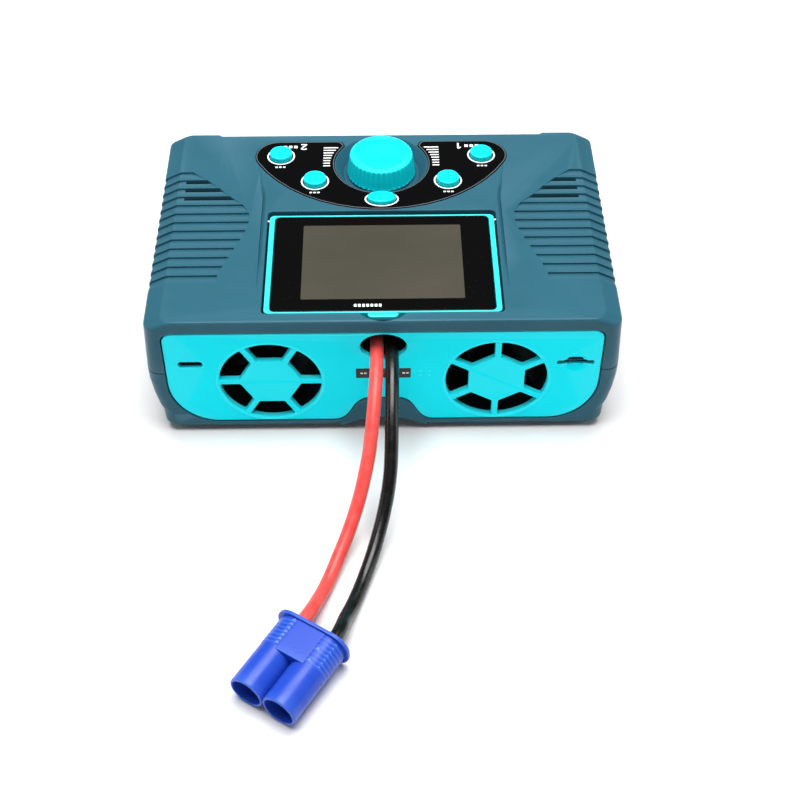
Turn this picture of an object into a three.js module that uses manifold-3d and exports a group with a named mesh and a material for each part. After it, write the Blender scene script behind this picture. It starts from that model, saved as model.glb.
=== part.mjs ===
// Two-channel balance battery charger with two fans, a tilting display and a pair of
// silicone input leads.  Units are millimetres, +Z is up.  The origin is at the middle of
// the case's footprint, on the surface that the rubber feet stand on.  The fan side faces -Y
// and the user's side, with the output sockets, faces +Y.

import * as THREE from 'three';
import { mergeVertices } from 'three/addons/utils/BufferGeometryUtils.js';
import Module from 'manifold-3d';

const wasm = await Module();
wasm.setup();

// ---------------------------------------------------------------- driving dimensions
const GAP = 0.3;                  // clearance between pieces that touch on the real object
const WALL = 2.4;                 // thickness of the moulded shells

const CASE_DEPTH = 113;
const FRONT_Y = -CASE_DEPTH / 2;  // face of the fan side
const BACK_Y = CASE_DEPTH / 2;    // face of the two ears on the user's side
const EAR_STEP = 1.8;             // the rear wall lies this far in from the ears
const FOOT_HEIGHT = 1.5;
const BASE_Z = FOOT_HEIGHT;       // underside of the bottom shell
const PARTING_Z = 31;             // line where the two shells meet
const TOP_Z = 56.5;               // flat top of the case
const PARTING_GAP = 0.15;         // each shell stops this far from the parting plane

// right half of the case section seen from the fan side, from the base up: x, z
const CASE_SECTION = [
  [81.5, BASE_Z], [83.5, 3.6], [83.8, 9.5], [85.0, 12.8], [86.3, 19], [87.1, 26],
  [87.2, PARTING_Z], [86.9, 38], [86.2, 53.2], [79.6, TOP_Z],
];
const [SIDE_TOP_X, SIDE_TOP_Z] = CASE_SECTION.at(-2);   // where the side wall turns inwards
const [TOP_EDGE_X] = CASE_SECTION.at(-1);               // where the flat top begins
const PLAN_HALF = 87.3;           // half width of the case's plan, just outside its section
const CORNER = { near: 5, far: 3.5 };                   // radii of the plan's corners
const EAR = { inner: 64.9, outer: 66.7 };               // the slope from the rear wall to an ear

const FAN_SIZE = 40;
const FAN_DEPTH = 15;
const FAN_X = 41.9;
const FAN_Z = 26;
const FAN_TILT = { left: 0, right: Math.PI / 6 };   // turn of each grille's six spokes

const PANEL_HALF = 80;            // fan panel: half width, top and bottom edge
const PANEL_TOP = 50.6;
const PANEL_BOTTOM = 5.5;
const PANEL_BAY_TOP = 17.2;       // the bay in the middle of its lower edge
const PANEL_THICKNESS = 2.4;
const PANEL_RECESS = 0.3;
const PANEL_GAP = 0.45;           // between a panel's edge and the shells
const GRILLE = { outer: 19, hubApothem: 10.4, spokeHalf: 1.15 };
const USB_SLOT = { x: -70.8, z: 35.2, halfWidth: 4.5, halfHeight: 1.5, radius: 1.45 };
const CARD_SLOT = { x: 70.6, z: 34.5, halfWidth: 7, halfHeight: 0.9, radius: 0.6 };

const CABLE_HOLE = { z: 43.5, halfWidth: 8.5, halfHeight: 6.2 };
const LEAD_DIAMETER = 5;
const LEAD_START = -46.6;         // y of the grommet's end wall, where the leads begin

const TUB = { halfWidth: 43.8, near: -52, far: 6, floor: 50.3, wall: 1.3, nearWall: 2.3 };
const DISPLAY = { halfWidth: 43, near: -51.4, far: 3.8, bottom: 51, top: 56.2 };
const GLASS = { halfWidth: 40.8, near: -50.5, far: 2.7, thickness: 1.1 };
const LCD = { halfWidth: 36.5, near: -47.5, far: -0.5, floor: DISPLAY.bottom + 1.2 };
const TAB = { halfWidth: 5.6, reach: 1.8 };               // finger tab on the display's near edge
const NOTCH = { radius: 10.5, near: -55.9, floor: 53 };   // finger notch in front of the display
const HINGE = { y: 2.2, z: 54.2, pinRadius: 0.8 };

const KNOB_Y = 35.8;
const KNOB = { radius: 13.6, topRadius: 12.65, bottom: 52.7, rim: 60.4, crown: 61.3 };
const DISH = { radius: 18.3, floor: 51.9, floorRadius: 15.2 };
const SHAFT = { radius: 3, bottom: 48, top: 57.1 };
const ENCODER = { half: 6.5, bottom: 43.4, top: 50, neckRadius: 3.6, neckTop: 52.1, wellBottom: 45.6 };
const PRESS_TRAVEL = 0.5;         // the knob, its shaft and the plunger under them go down this far

const OVERLAY = { top: 56.6, thickness: 0.8, arcY: 62.4, arcRadius: 55.5, far: 50.4, corner: 9.3 };
const OVERLAY_BAY = { radius: 18.9, far: 48.4, flare: 3.5 };   // the bay round the knob's dish

const BUTTON_TRAVEL = 0.8;
const BUTTON_FLANGE_TOP = TOP_Z - WALL - 0.9;
const BUTTONS = [
  { name: 'button_mode_1', x: 40.2, y: 40.8, rx: 4.5, ry: 4.5, height: 2.3 },
  { name: 'button_status_1', x: 26.2, y: 24.4, rx: 4.5, ry: 4.5, height: 2.3 },
  { name: 'button_tab', x: 0, y: 12.9, rx: 5.6, ry: 3.5, height: 1.8 },
  { name: 'button_status_2', x: -26.2, y: 24.4, rx: 4.5, ry: 4.5, height: 2.3 },
  { name: 'button_mode_2', x: -40.2, y: 40.8, rx: 4.5, ry: 4.5, height: 2.3 },
];

// side grips: steps that run round from the top onto the side wall
const GRIP = { count: 13, pitch: 5.16, near: -30.8, depth: 0.9, bottom: 38 };
const GRIP_INNER = [60.9, 59.2, 57.2, 55.4, 53.4, 51.7, 50.9, 51.1, 53.9, 59.4, 63.6, 68.8, 75];
const VENT = { count: 3, outer: 77, width: 2.1 };

// the input plug lies on the table, its back towards the case
const PLUG = { length: 30, barrelRadius: 6.5, pitch: 12.8, flangeHalfWidth: 14.4, flangeHalf: 7.6 };
const PLUG_BACK = { x: -23.8, y: FRONT_Y - 99.5, z: 7.7 };
const PLUG_TURN = -0.58;          // about Z, from straight ahead
const PLUG_DIP = -0.034;          // its tip dips, because the flange at the back is taller

// routes of the two leads, from the grommet to the plug: x, y, z
const RED_ROUTE = [
  [-2.4, -46.6, 40.7], [-2.4, -52.0, 40.7], [-2.4, -58.0, 40.6], [-2.6, -64.0, 39.9],
  [-2.9, -70.0, 38.4], [-3.4, -76.0, 35.8], [-4.0, -81.5, 32.6], [-4.7, -86.5, 29.1],
  [-5.5, -91.5, 25.2], [-6.8, -96.5, 21.1], [-8.6, -102.0, 16.1], [-10.9, -108.0, 11.3],
  [-13.6, -114.5, 7.4], [-16.4, -121.0, 4.6], [-19.1, -128.0, 2.9], [-21.5, -134.5, 3.1],
  [-23.5, -140.0, 4.6], [-25.2, -144.9, 6.4], [-27.3, -149.3, 7.5], [-30.6, -154.5, 7.6],
];
const BLACK_ROUTE = [
  [3.1, -46.6, 40.7], [3.1, -52.0, 40.7], [3.1, -58.0, 40.6], [3.1, -64.0, 39.9],
  [3.0, -70.0, 38.4], [2.9, -76.0, 35.8], [2.7, -81.5, 32.6], [2.6, -86.5, 29.1],
  [2.4, -91.5, 25.2], [2.0, -96.5, 21.1], [1.0, -102.0, 16.1], [-0.6, -108.0, 11.3],
  [-2.6, -114.5, 7.4], [-4.7, -121.0, 4.6], [-7.1, -128.0, 2.9], [-9.6, -135.5, 2.6],
  [-11.9, -142.0, 3.2], [-13.8, -147.5, 4.8], [-15.0, -152.3, 6.7],
  [-16.6, -156.6, 7.6], [-19.7, -161.6, 7.6],
];

// ---------------------------------------------------------------- materials
const finish = (color, roughness, metalness = 0) =>
  new THREE.MeshStandardMaterial({ color, roughness, metalness });

const tealPlastic = finish(0x3f7489, 0.5);
const cyanPlastic = finish(0x14d8f2, 0.4);
const knobPlastic = finish(0x08e6ef, 0.4);
const overlayFilm = finish(0x0b0b0d, 0.3);
const screenGlass = finish(0x0a0a0a, 0.1);
const screenGrey = finish(0x5f5c55, 0.35);
const blackPlastic = finish(0x151515, 0.5);
const rubber = finish(0x1c1c1c, 0.85);
const steel = finish(0xb9bcc0, 0.35, 1);
const aluminium = finish(0xc6c9cc, 0.4, 1);
const brass = finish(0xd8a94a, 0.3, 1);
const boardGreen = finish(0x14573a, 0.55);
const ferrite = finish(0x4c4f52, 0.7);
const redSilicone = finish(0xf25252, 0.5);
const blackSilicone = finish(0x141414, 0.5);
const plugBlue = finish(0x2f62e0, 0.45);

// ---------------------------------------------------------------- solids
const charger = new THREE.Group();

function solid(geometry) {
  const plain = geometry.clone();
  plain.deleteAttribute('normal');
  plain.deleteAttribute('uv');
  const merged = mergeVertices(plain, 1e-4);
  const vertProperties = new Float32Array(merged.attributes.position.array);
  const triVerts = new Uint32Array(merged.index.array);
  return new wasm.Manifold(new wasm.Mesh({ numProp: 3, vertProperties, triVerts }));
}

function addNode(name, shape, material, parent = charger) {
  const { numProp, vertProperties, triVerts } = shape.getMesh();
  if (numProp !== 3) throw new Error(`${name}: positions only are expected`);
  const geometry = new THREE.BufferGeometry();
  geometry.setAttribute('position', new THREE.BufferAttribute(new Float32Array(vertProperties), 3));
  geometry.setIndex(new THREE.BufferAttribute(new Uint32Array(triVerts), 1));
  const mesh = new THREE.Mesh(geometry, material);
  mesh.name = name;
  parent.add(mesh);
  return mesh;
}

const union = (...shapes) => shapes.reduce((whole, next) => whole.add(next));
const cut = (body, ...tools) => tools.reduce((rest, tool) => rest.subtract(tool), body);

// ---------------------------------------------------------------- shape helpers
const flat = (shape, depth, segments) =>
  new THREE.ExtrudeGeometry(shape, { depth, bevelEnabled: false, curveSegments: segments });

// a shape drawn in x, y and extruded from z0 to z1
function prismZ(shape, z0, z1, segments = 6) {
  return solid(flat(shape, z1 - z0, segments).translate(0, 0, z0));
}

// a shape drawn in x, z and extruded from y0 to y1
function prismY(shape, y0, y1, segments = 6) {
  return solid(flat(shape, y1 - y0, segments).rotateX(Math.PI / 2).translate(0, y1, 0));
}

// a shape drawn in y, z and extruded from x0 to x1
function prismX(shape, x0, x1, segments = 6) {
  const geometry = flat(shape, x1 - x0, segments).rotateX(Math.PI / 2).rotateZ(Math.PI / 2);
  return solid(geometry.translate(x0, 0, 0));
}

function block(x0, x1, y0, y1, z0, z1) {
  const geometry = new THREE.BoxGeometry(x1 - x0, y1 - y0, z1 - z0);
  return solid(geometry.translate((x0 + x1) / 2, (y0 + y1) / 2, (z0 + z1) / 2));
}

function cylinder(axis, radius, centre, length, segments = 24) {
  const geometry = new THREE.CylinderGeometry(radius, radius, length, segments);
  if (axis === 'x') geometry.rotateZ(Math.PI / 2);
  if (axis === 'z') geometry.rotateX(Math.PI / 2);
  return solid(geometry.translate(...centre));
}

// a profile of radius, height pairs turned about the vertical through x, y
function turned(profile, x, y, segments = 32) {
  const points = profile.map(([radius, height]) => new THREE.Vector2(radius, height));
  const geometry = new THREE.LatheGeometry(points, segments);
  return solid(geometry.rotateX(Math.PI / 2).translate(x, y, 0));
}

function polygon(points) {
  return new THREE.Shape(points.map(([a, b]) => new THREE.Vector2(a, b)));
}

function roundedRect(u0, u1, v0, v1, radius) {
  const shape = new THREE.Shape();
  shape.moveTo(u0 + radius, v0);
  shape.lineTo(u1 - radius, v0);
  shape.absarc(u1 - radius, v0 + radius, radius, -Math.PI / 2, 0);
  shape.lineTo(u1, v1 - radius);
  shape.absarc(u1 - radius, v1 - radius, radius, 0, Math.PI / 2);
  shape.lineTo(u0 + radius, v1);
  shape.absarc(u0 + radius, v1 - radius, radius, Math.PI / 2, Math.PI);
  shape.lineTo(u0, v0 + radius);
  shape.absarc(u0 + radius, v0 + radius, radius, Math.PI, Math.PI * 1.5);
  return shape;
}

function ellipse(u, v, ru, rv) {
  const shape = new THREE.Shape();
  shape.absellipse(u, v, ru, rv, 0, Math.PI * 2);
  return shape;
}

const mirrored = (half) => [...half, ...half.map(([u, v]) => [-u, v]).reverse()];

// ---------------------------------------------------------------- the case
// scale of a height about the parting plane, which leaves one wall at the top and the base
function innerHeight(z) {
  const limit = z > PARTING_Z ? TOP_Z : BASE_Z;
  const reach = Math.abs(limit - PARTING_Z);
  return PARTING_Z + (z - PARTING_Z) * (reach - WALL) / reach;
}

function caseOutline() {
  const wall = BACK_Y - EAR_STEP;
  const nearX = PLAN_HALF - CORNER.near;
  const nearY = FRONT_Y + CORNER.near;
  const farX = PLAN_HALF - CORNER.far;
  const farY = BACK_Y - CORNER.far;
  const shape = new THREE.Shape();
  shape.absarc(nearX, nearY, CORNER.near, -Math.PI / 2, 0);
  shape.absarc(farX, farY, CORNER.far, 0, Math.PI / 2);
  shape.lineTo(EAR.outer, BACK_Y);
  shape.lineTo(EAR.inner, wall);
  shape.lineTo(-EAR.inner, wall);
  shape.lineTo(-EAR.outer, BACK_Y);
  shape.absarc(-farX, farY, CORNER.far, Math.PI / 2, Math.PI);
  shape.absarc(-nearX, nearY, CORNER.near, Math.PI, Math.PI * 1.5);
  return shape;
}

function caseBody() {
  const section = prismY(polygon(mirrored(CASE_SECTION)), FRONT_Y - 2, BACK_Y + 2);
  const plan = prismZ(caseOutline(), 0, TOP_Z + 1, 4);
  const side = new THREE.Shape();
  side.moveTo(FRONT_Y + 1.5, BASE_Z);
  side.lineTo(BACK_Y - 1.5, BASE_Z);
  side.lineTo(BACK_Y, BASE_Z + 2.5);
  side.lineTo(BACK_Y, TOP_Z - 3);
  side.absarc(BACK_Y - 3, TOP_Z - 3, 3, 0, Math.PI / 2);
  side.lineTo(FRONT_Y + 3, TOP_Z);
  side.absarc(FRONT_Y + 3, TOP_Z - 3, 3, Math.PI / 2, Math.PI);
  side.lineTo(FRONT_Y, BASE_Z + 2.5);
  return section.intersect(plan).intersect(prismX(side, -90, 90, 4));
}

function caseCavity() {
  const inner = CASE_SECTION.map(([x, z]) => [x - WALL, innerHeight(z)]);
  const far = BACK_Y - EAR_STEP - WALL;
  const section = prismY(polygon(mirrored(inner)), FRONT_Y + WALL, far);
  const half = PLAN_HALF - WALL;
  const plan = roundedRect(-half, half, FRONT_Y + WALL, far, 3);
  return section.intersect(prismZ(plan, 0, TOP_Z, 2));
}

// outline of the fan panel in x, z, grown on all sides
function panelOutline(grow) {
  const side = PANEL_HALF + grow;
  const top = PANEL_TOP + grow;
  const bottom = PANEL_BOTTOM - grow;
  const bay = PANEL_BAY_TOP - grow;
  const shape = new THREE.Shape();
  shape.moveTo(62, bottom);
  shape.absellipse(62, bottom + 20, side - 62, 20, -Math.PI / 2, 0);
  shape.lineTo(side, top - 4);
  shape.absarc(side - 4, top - 4, 4, 0, Math.PI / 2);
  shape.lineTo(-side + 4, top);
  shape.absarc(-side + 4, top - 4, 4, Math.PI / 2, Math.PI);
  shape.lineTo(-side, bottom + 20);
  shape.absellipse(-62, bottom + 20, side - 62, 20, Math.PI, Math.PI * 1.5);
  shape.lineTo(-19, bottom);
  shape.bezierCurveTo(-11 - grow, bottom, -13 + grow, bay, -5, bay);
  shape.lineTo(5, bay);
  shape.bezierCurveTo(13 - grow, bay, 11 + grow, bottom, 19, bottom);
  return shape;
}

const OUTPUT_PANEL = { halfWidth: 62, bottom: 8, top: 50, thickness: 2.4 };
const SOCKETS = [
  { name: 'output_socket_1', x: 46, z: 20, halfWidth: 9.5, halfHeight: 5.6, depth: 15 },
  { name: 'balance_socket_1', x: 22, z: 20, halfWidth: 14, halfHeight: 4.1, depth: 10 },
  { name: 'balance_socket_2', x: -22, z: 20, halfWidth: 14, halfHeight: 4.1, depth: 10 },
  { name: 'output_socket_2', x: -46, z: 20, halfWidth: 9.5, halfHeight: 5.6, depth: 15 },
];
const SCREW_SPOTS = [[-74, -33], [74, -33], [-74, 40], [74, 40]];
const SCREW = { radius: 1.4, headRadius: 2.8, tip: 16 };
const POST_TOP = 9;               // the bottom shell's screw posts end here, the top shell's begin
const FOOT_SPOTS = [[-66, -46], [66, -46], [-66, 44], [66, 44]];

function panelOpenings() {
  const fan = prismY(panelOutline(PANEL_GAP), FRONT_Y - 1, FRONT_Y + WALL + 0.5, 5);
  const half = OUTPUT_PANEL.halfWidth + PANEL_GAP;
  const rear = roundedRect(-half, half, OUTPUT_PANEL.bottom - PANEL_GAP, OUTPUT_PANEL.top + PANEL_GAP, 4);
  return fan.add(prismY(rear, BACK_Y - EAR_STEP - WALL - 0.5, BACK_Y + 1, 3));
}

// one step of a grip between two points of the section: x0, z0 to x1, z1
function gripStep(x0, z0, x1, z1, farY) {
  const length = Math.hypot(x1 - x0, z1 - z0);
  const nearY = farY - GRIP.pitch + 0.2;
  const section = polygon([[farY, 1.2], [farY, -GRIP.depth], [nearY, -0.02], [nearY, 1.2]]);
  const geometry = flat(section, length, 1).rotateX(Math.PI / 2).rotateZ(Math.PI / 2);
  geometry.rotateY(-Math.atan2(z1 - z0, x1 - x0));
  return solid(geometry.translate(x0, 0, z0));
}

function gripTools(index) {
  const farY = GRIP.near + index * GRIP.pitch;
  const run = 0.6;                // each stretch runs this far past the edge that it meets
  const side = gripStep(SIDE_TOP_X + 0.02, SIDE_TOP_Z + run, SIDE_TOP_X + run, GRIP.bottom, farY);
  const shoulder = gripStep(TOP_EDGE_X - run, TOP_Z + run / 2, SIDE_TOP_X + run, SIDE_TOP_Z - run / 2, farY);
  const top = gripStep(GRIP_INNER[index], TOP_Z, TOP_EDGE_X + run, TOP_Z, farY);
  const right = union(top, shoulder, side);
  return [right, right.mirror([1, 0, 0])];
}

function ventTools(index) {
  const row = GRIP.count - 2 - index;
  const farY = GRIP.near + row * GRIP.pitch;
  const inner = (GRIP_INNER[row] + GRIP_INNER[row - 1]) / 2;
  const right = block(inner, VENT.outer, farY - VENT.width, farY, TOP_Z - WALL - 1, TOP_Z + 1);
  return [right, right.mirror([1, 0, 0])];
}

// the shallow arch in the lower front edge of the bottom shell
function baseArch() {
  const shape = new THREE.Shape();
  shape.moveTo(-21, BASE_Z - 1);
  shape.lineTo(21, BASE_Z - 1);
  shape.lineTo(19, BASE_Z);
  shape.bezierCurveTo(12, BASE_Z + 0.5, 11, BASE_Z + 5, 0, BASE_Z + 5);
  shape.bezierCurveTo(-11, BASE_Z + 5, -12, BASE_Z + 0.5, -19, BASE_Z);
  return shape;
}

const body = caseBody();
const cavity = caseCavity();
const hollow = body.subtract(cavity);

function topShell() {
  const above = block(-95, 95, -70, 70, PARTING_Z + PARTING_GAP, 80);
  const { halfWidth, near, far, floor, wall, nearWall } = TUB;
  const outerHalf = halfWidth + wall;
  const tubOutline = roundedRect(-outerHalf, outerHalf, near - nearWall, far + wall, 2);
  const tubOutside = prismZ(tubOutline, floor - wall, TOP_Z - 1, 2);
  const tubInside = prismZ(roundedRect(-halfWidth, halfWidth, near, far, 2), floor, TOP_Z + 1, 2);
  const notchY = NOTCH.near + NOTCH.radius;
  const notch = cylinder('z', NOTCH.radius, [0, notchY, NOTCH.floor + 3], 6, 32);
  const notchArea = block(-12, 12, FRONT_Y, near + 0.5, NOTCH.floor - 1, TOP_Z + 1);
  const boss = onKnobAxis(DISH.radius + 1.2, DISH.floor - 1.5, TOP_Z - 1, 20);
  const dish = turned(
    [[0, DISH.floor], [DISH.floorRadius, DISH.floor], [DISH.radius, TOP_Z], [DISH.radius, TOP_Z + 1],
      [0, TOP_Z + 1]], 0, KNOB_Y, 28);
  const bushing = onKnobAxis(SHAFT.radius + 1, DISH.floor - 3, TOP_Z, 12);
  const film = prismZ(overlayOutline(0.3), OVERLAY.top - OVERLAY.thickness - GAP, TOP_Z + 1, 5);
  const hinges = [-1, 1].map((end) =>
    cylinder('x', HINGE.pinRadius + GAP, [end * (halfWidth + 1), HINGE.y, HINGE.z], 4, 12));
  const holes = BUTTONS.map(({ x, y, rx, ry }) =>
    prismZ(ellipse(x, y, rx + GAP, ry + GAP), TOP_Z - 6, TOP_Z + 1, 8));
  const pockets = BUTTONS.map(({ x, y, rx, ry }) =>
    prismZ(ellipse(x, y, rx + 1.3, ry + 1.3), TOP_Z - 8, BUTTON_FLANGE_TOP + GAP, 4));
  const steps = Array.from({ length: GRIP.count }, (_, index) => gripTools(index)).flat();
  const vents = Array.from({ length: VENT.count }, (_, index) => ventTools(index)).flat();
  const posts = SCREW_SPOTS.map(([x, y]) =>
    cylinder('z', 4, [x, y, (POST_TOP + TOP_Z) / 2], TOP_Z - POST_TOP - 2, 10));
  const bores = SCREW_SPOTS.map(([x, y]) =>
    cylinder('z', SCREW.radius + GAP, [x, y, POST_TOP], 16, 8));
  const shell = union(hollow.intersect(above), tubOutside, boss.intersect(body), ...posts);
  return cut(shell, panelOpenings(), tubInside, notch.intersect(notchArea), dish, bushing, film,
    ...hinges, ...holes, ...pockets, ...bores, ...steps, ...vents);
}

function bottomShell() {
  const below = block(-95, 95, -70, 70, -1, PARTING_Z - PARTING_GAP);
  const arch = prismY(baseArch(), FRONT_Y - 1, FRONT_Y + 16);
  const roof = polygon([[-17, BASE_Z], [17, BASE_Z], [13, BASE_Z + 7.2], [-13, BASE_Z + 7.2]]);
  const archRoof = prismY(roof, FRONT_Y + 0.4, FRONT_Y + 18);
  const bores = SCREW_SPOTS.map(([x, y]) =>
    cylinder('z', SCREW.radius + GAP, [x, y, POST_TOP / 2], 12, 8));
  const heads = SCREW_SPOTS.map(([x, y]) =>
    cylinder('z', SCREW.headRadius + GAP, [x, y, BASE_Z], 4, 12));
  const postHeight = POST_TOP - BASE_Z - 1;
  const posts = SCREW_SPOTS.map(([x, y]) =>
    cylinder('z', 4.6, [x, y, POST_TOP - GAP - postHeight / 2], postHeight, 10));
  const shell = union(hollow.intersect(below), archRoof.intersect(body), ...posts);
  return cut(shell, panelOpenings(), arch, ...bores, ...heads);
}

// ---------------------------------------------------------------- control overlay
function overlayOutline(grow) {
  const { arcY, arcRadius, far, corner } = OVERLAY;
  const cornerY = far - corner;
  const cornerX = Math.sqrt((arcRadius - corner) ** 2 - (arcY - cornerY) ** 2);
  const meeting = Math.atan2(cornerY - arcY, cornerX);    // where the long arc meets a corner's
  const bay = OVERLAY_BAY.radius - grow;
  const bayAngle = Math.asin((OVERLAY_BAY.far - KNOB_Y) / bay);
  const mouth = bay * Math.cos(bayAngle) + OVERLAY_BAY.flare;
  const shape = new THREE.Shape();
  shape.absarc(0, arcY, arcRadius + grow, -Math.PI - meeting, meeting);
  shape.absarc(cornerX, cornerY, corner + grow, meeting, Math.PI / 2);
  shape.lineTo(mouth, far + grow);
  shape.absarc(0, KNOB_Y, bay, bayAngle, Math.PI - bayAngle, true);
  shape.lineTo(-mouth, far + grow);
  shape.absarc(-cornerX, cornerY, corner + grow, Math.PI / 2, Math.PI - meeting);
  return shape;
}

function controlOverlay() {
  const plate = prismZ(overlayOutline(0), OVERLAY.top - OVERLAY.thickness, OVERLAY.top, 5);
  const holes = BUTTONS.map(({ x, y, rx, ry }) =>
    prismZ(ellipse(x, y, rx + GAP, ry + GAP), TOP_Z - 3, TOP_Z + 2, 8));
  return cut(plate, ...holes);
}

// ---------------------------------------------------------------- fan panel
// one opening between two of the six spokes; its inner edge is a side of the hexagonal hub
function grilleOpening(x, turn, index) {
  const { outer, hubApothem, spokeHalf } = GRILLE;
  const sixth = Math.PI / 6;
  const middle = turn + (2 * index + 1) * sixth;
  const reach = sixth - Math.asin(spokeHalf / outer);
  const hubHalf = hubApothem * Math.tan(sixth) - spokeHalf / Math.cos(sixth);
  const hubCorner = (side) => [
    x + hubApothem * Math.cos(middle) - side * hubHalf * Math.sin(middle),
    FAN_Z + hubApothem * Math.sin(middle) + side * hubHalf * Math.cos(middle),
  ];
  const shape = new THREE.Shape();
  shape.absarc(x, FAN_Z, outer, middle - reach, middle + reach);
  shape.lineTo(...hubCorner(1));
  shape.lineTo(...hubCorner(-1));
  return prismY(shape, FRONT_Y - 1, FRONT_Y + 5, 3);
}

function portSlot({ x, z, halfWidth, halfHeight, radius }) {
  const outline = roundedRect(x - halfWidth, x + halfWidth, z - halfHeight, z + halfHeight, radius);
  return prismY(outline, FRONT_Y - 1, FRONT_Y + 5, 2);
}

function fanPanel() {
  const face = FRONT_Y + PANEL_RECESS;
  const plate = prismY(panelOutline(0), face, face + PANEL_THICKNESS, 5);
  const tools = [];
  for (const [x, turn] of [[-FAN_X, FAN_TILT.left], [FAN_X, FAN_TILT.right]]) {
    for (let index = 0; index < 6; index += 1) tools.push(grilleOpening(x, turn, index));
  }
  const { z, halfWidth, halfHeight } = CABLE_HOLE;
  tools.push(prismY(ellipse(0, z, halfWidth, halfHeight), FRONT_Y - 1, FRONT_Y + 5, 10));
  return cut(plate, ...tools, portSlot(USB_SLOT), portSlot(CARD_SLOT));
}

// ---------------------------------------------------------------- user's side
function outputPanel() {
  const back = BACK_Y - EAR_STEP - PANEL_RECESS;
  const { halfWidth, bottom, top, thickness } = OUTPUT_PANEL;
  const plate = prismY(roundedRect(-halfWidth, halfWidth, bottom, top, 4), back - thickness, back, 4);
  const holes = SOCKETS.map((socket) => prismY(socketOutline(socket, GAP, 1.2), back - 4, back + 1, 2));
  return cut(plate, ...holes);
}

// outline of a socket in x, z, grown on all sides
function socketOutline({ x, z, halfWidth, halfHeight }, grow, radius) {
  const half = halfWidth + grow;
  const rise = halfHeight + grow;
  return roundedRect(x - half, x + half, z - rise, z + rise, radius);
}

function outputSocket(socket) {
  const { x, z, depth } = socket;
  const back = BACK_Y - EAR_STEP;
  const shell = prismY(socketOutline(socket, 0, 1.2), back - depth, back, 2);
  const well = prismY(socketOutline(socket, -1.3, 0.8), back - depth + 3, back + 1, 2);
  const pins = [-1, 1].map((end) =>
    cylinder('y', 1.75, [x + end * 4.1, back - depth / 2 + 0.5, z], depth - 4, 12));
  return union(shell.subtract(well), ...pins);
}

function balanceSocket(socket) {
  const { x, z, depth } = socket;
  const pinHalf = 0.32;
  const pinZ = z - 1.43;
  const back = BACK_Y - EAR_STEP;
  const shell = prismY(socketOutline(socket, 0, 0.8), back - depth, back, 1);
  const well = prismY(socketOutline(socket, -0.9, 0.2), back - depth + 2, back + 1, 1);
  const pins = Array.from({ length: 9 }, (_, index) => {
    const pinX = x + (index - 4) * 2.5;
    return block(pinX - pinHalf, pinX + pinHalf, back - depth + 1, back - 2.5,
      pinZ - pinHalf, pinZ + pinHalf);
  });
  return union(shell.subtract(well), ...pins);
}

// ---------------------------------------------------------------- display
function displayFrame() {
  const { halfWidth, near, far, bottom, top } = DISPLAY;
  const outside = prismZ(roundedRect(-halfWidth, halfWidth, near, far, 1.6), bottom, top, 3);
  const tabOutline = roundedRect(-TAB.halfWidth, TAB.halfWidth, near - TAB.reach, near + 2, 1.5);
  const tab = prismZ(tabOutline, top - 2.2, top - 0.4, 3);
  const glassSeat = prismZ(roundedRect(-GLASS.halfWidth - GAP, GLASS.halfWidth + GAP,
    GLASS.near - GAP, GLASS.far + GAP, 2.2), top - GLASS.thickness - GAP, top + 1, 3);
  const moduleSeat = block(-LCD.halfWidth, LCD.halfWidth, LCD.near, LCD.far, LCD.floor, top);
  const pinHoles = [-1, 1].map((end) =>
    cylinder('x', HINGE.pinRadius + GAP, [end * (halfWidth - 0.35), HINGE.y, HINGE.z], 2.1, 12));
  const relief = polygon([[far + 1, bottom - 1], [far + 1, bottom + 3.2], [far - 3.4, bottom - 1]]);
  const underRelief = prismX(relief, -50, 50);
  return cut(union(outside, tab), glassSeat, moduleSeat, underRelief, ...pinHoles);
}

function displayGlass() {
  const { halfWidth, near, far, thickness } = GLASS;
  const outline = roundedRect(-halfWidth, halfWidth, near, far, 2);
  return prismZ(outline, DISPLAY.top - thickness, DISPLAY.top, 3);
}

function lcdModule() {
  const half = LCD.halfWidth - GAP;
  const top = DISPLAY.top - GLASS.thickness - GAP;
  return block(-half, half, LCD.near + GAP, LCD.far - GAP, LCD.floor + GAP, top);
}

function hingePin(end) {
  const inner = DISPLAY.halfWidth - 1.1;
  const outer = TUB.halfWidth + TUB.wall - 0.1;
  const middle = end * (inner + outer) / 2;
  return cylinder('x', HINGE.pinRadius, [middle, HINGE.y, HINGE.z], outer - inner, 12);
}

// ---------------------------------------------------------------- knob and buttons
function controlKnob() {
  const { radius, topRadius, bottom, rim, crown } = KNOB;
  const profile = [
    [0, bottom + 0.8], [radius - 2, bottom + 0.8], [radius - 2, bottom], [radius, bottom],
    [topRadius, rim], [topRadius - 0.9, crown], [0, crown],
  ];
  const bore = cylinder('z', SHAFT.radius + GAP, [0, KNOB_Y, SHAFT.top + GAP - 3], 6, 12);
  return cut(turned(profile, 0, KNOB_Y, 28), bore);
}

// an upright cylinder on the knob's axis
const onKnobAxis = (radius, z0, z1, segments) =>
  cylinder('z', radius, [0, KNOB_Y, (z0 + z1) / 2], z1 - z0, segments);

function encoderShaft() {
  return onKnobAxis(SHAFT.radius, SHAFT.bottom, SHAFT.top, 16);
}

// the plunger carries the shaft and doesn't turn with it
function encoderPlunger() {
  return onKnobAxis(SHAFT.radius - 0.2, ENCODER.wellBottom + PRESS_TRAVEL + GAP, SHAFT.bottom - GAP, 12);
}

function encoderBody() {
  const { half, bottom, top, neckRadius, neckTop, wellBottom } = ENCODER;
  const base = block(-half, half, KNOB_Y - half, KNOB_Y + half, bottom, top);
  const neck = onKnobAxis(neckRadius, top - 2, neckTop, 16);
  const well = onKnobAxis(SHAFT.radius + GAP, wellBottom, neckTop + 1, 16);
  return union(base, neck).subtract(well);
}

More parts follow.
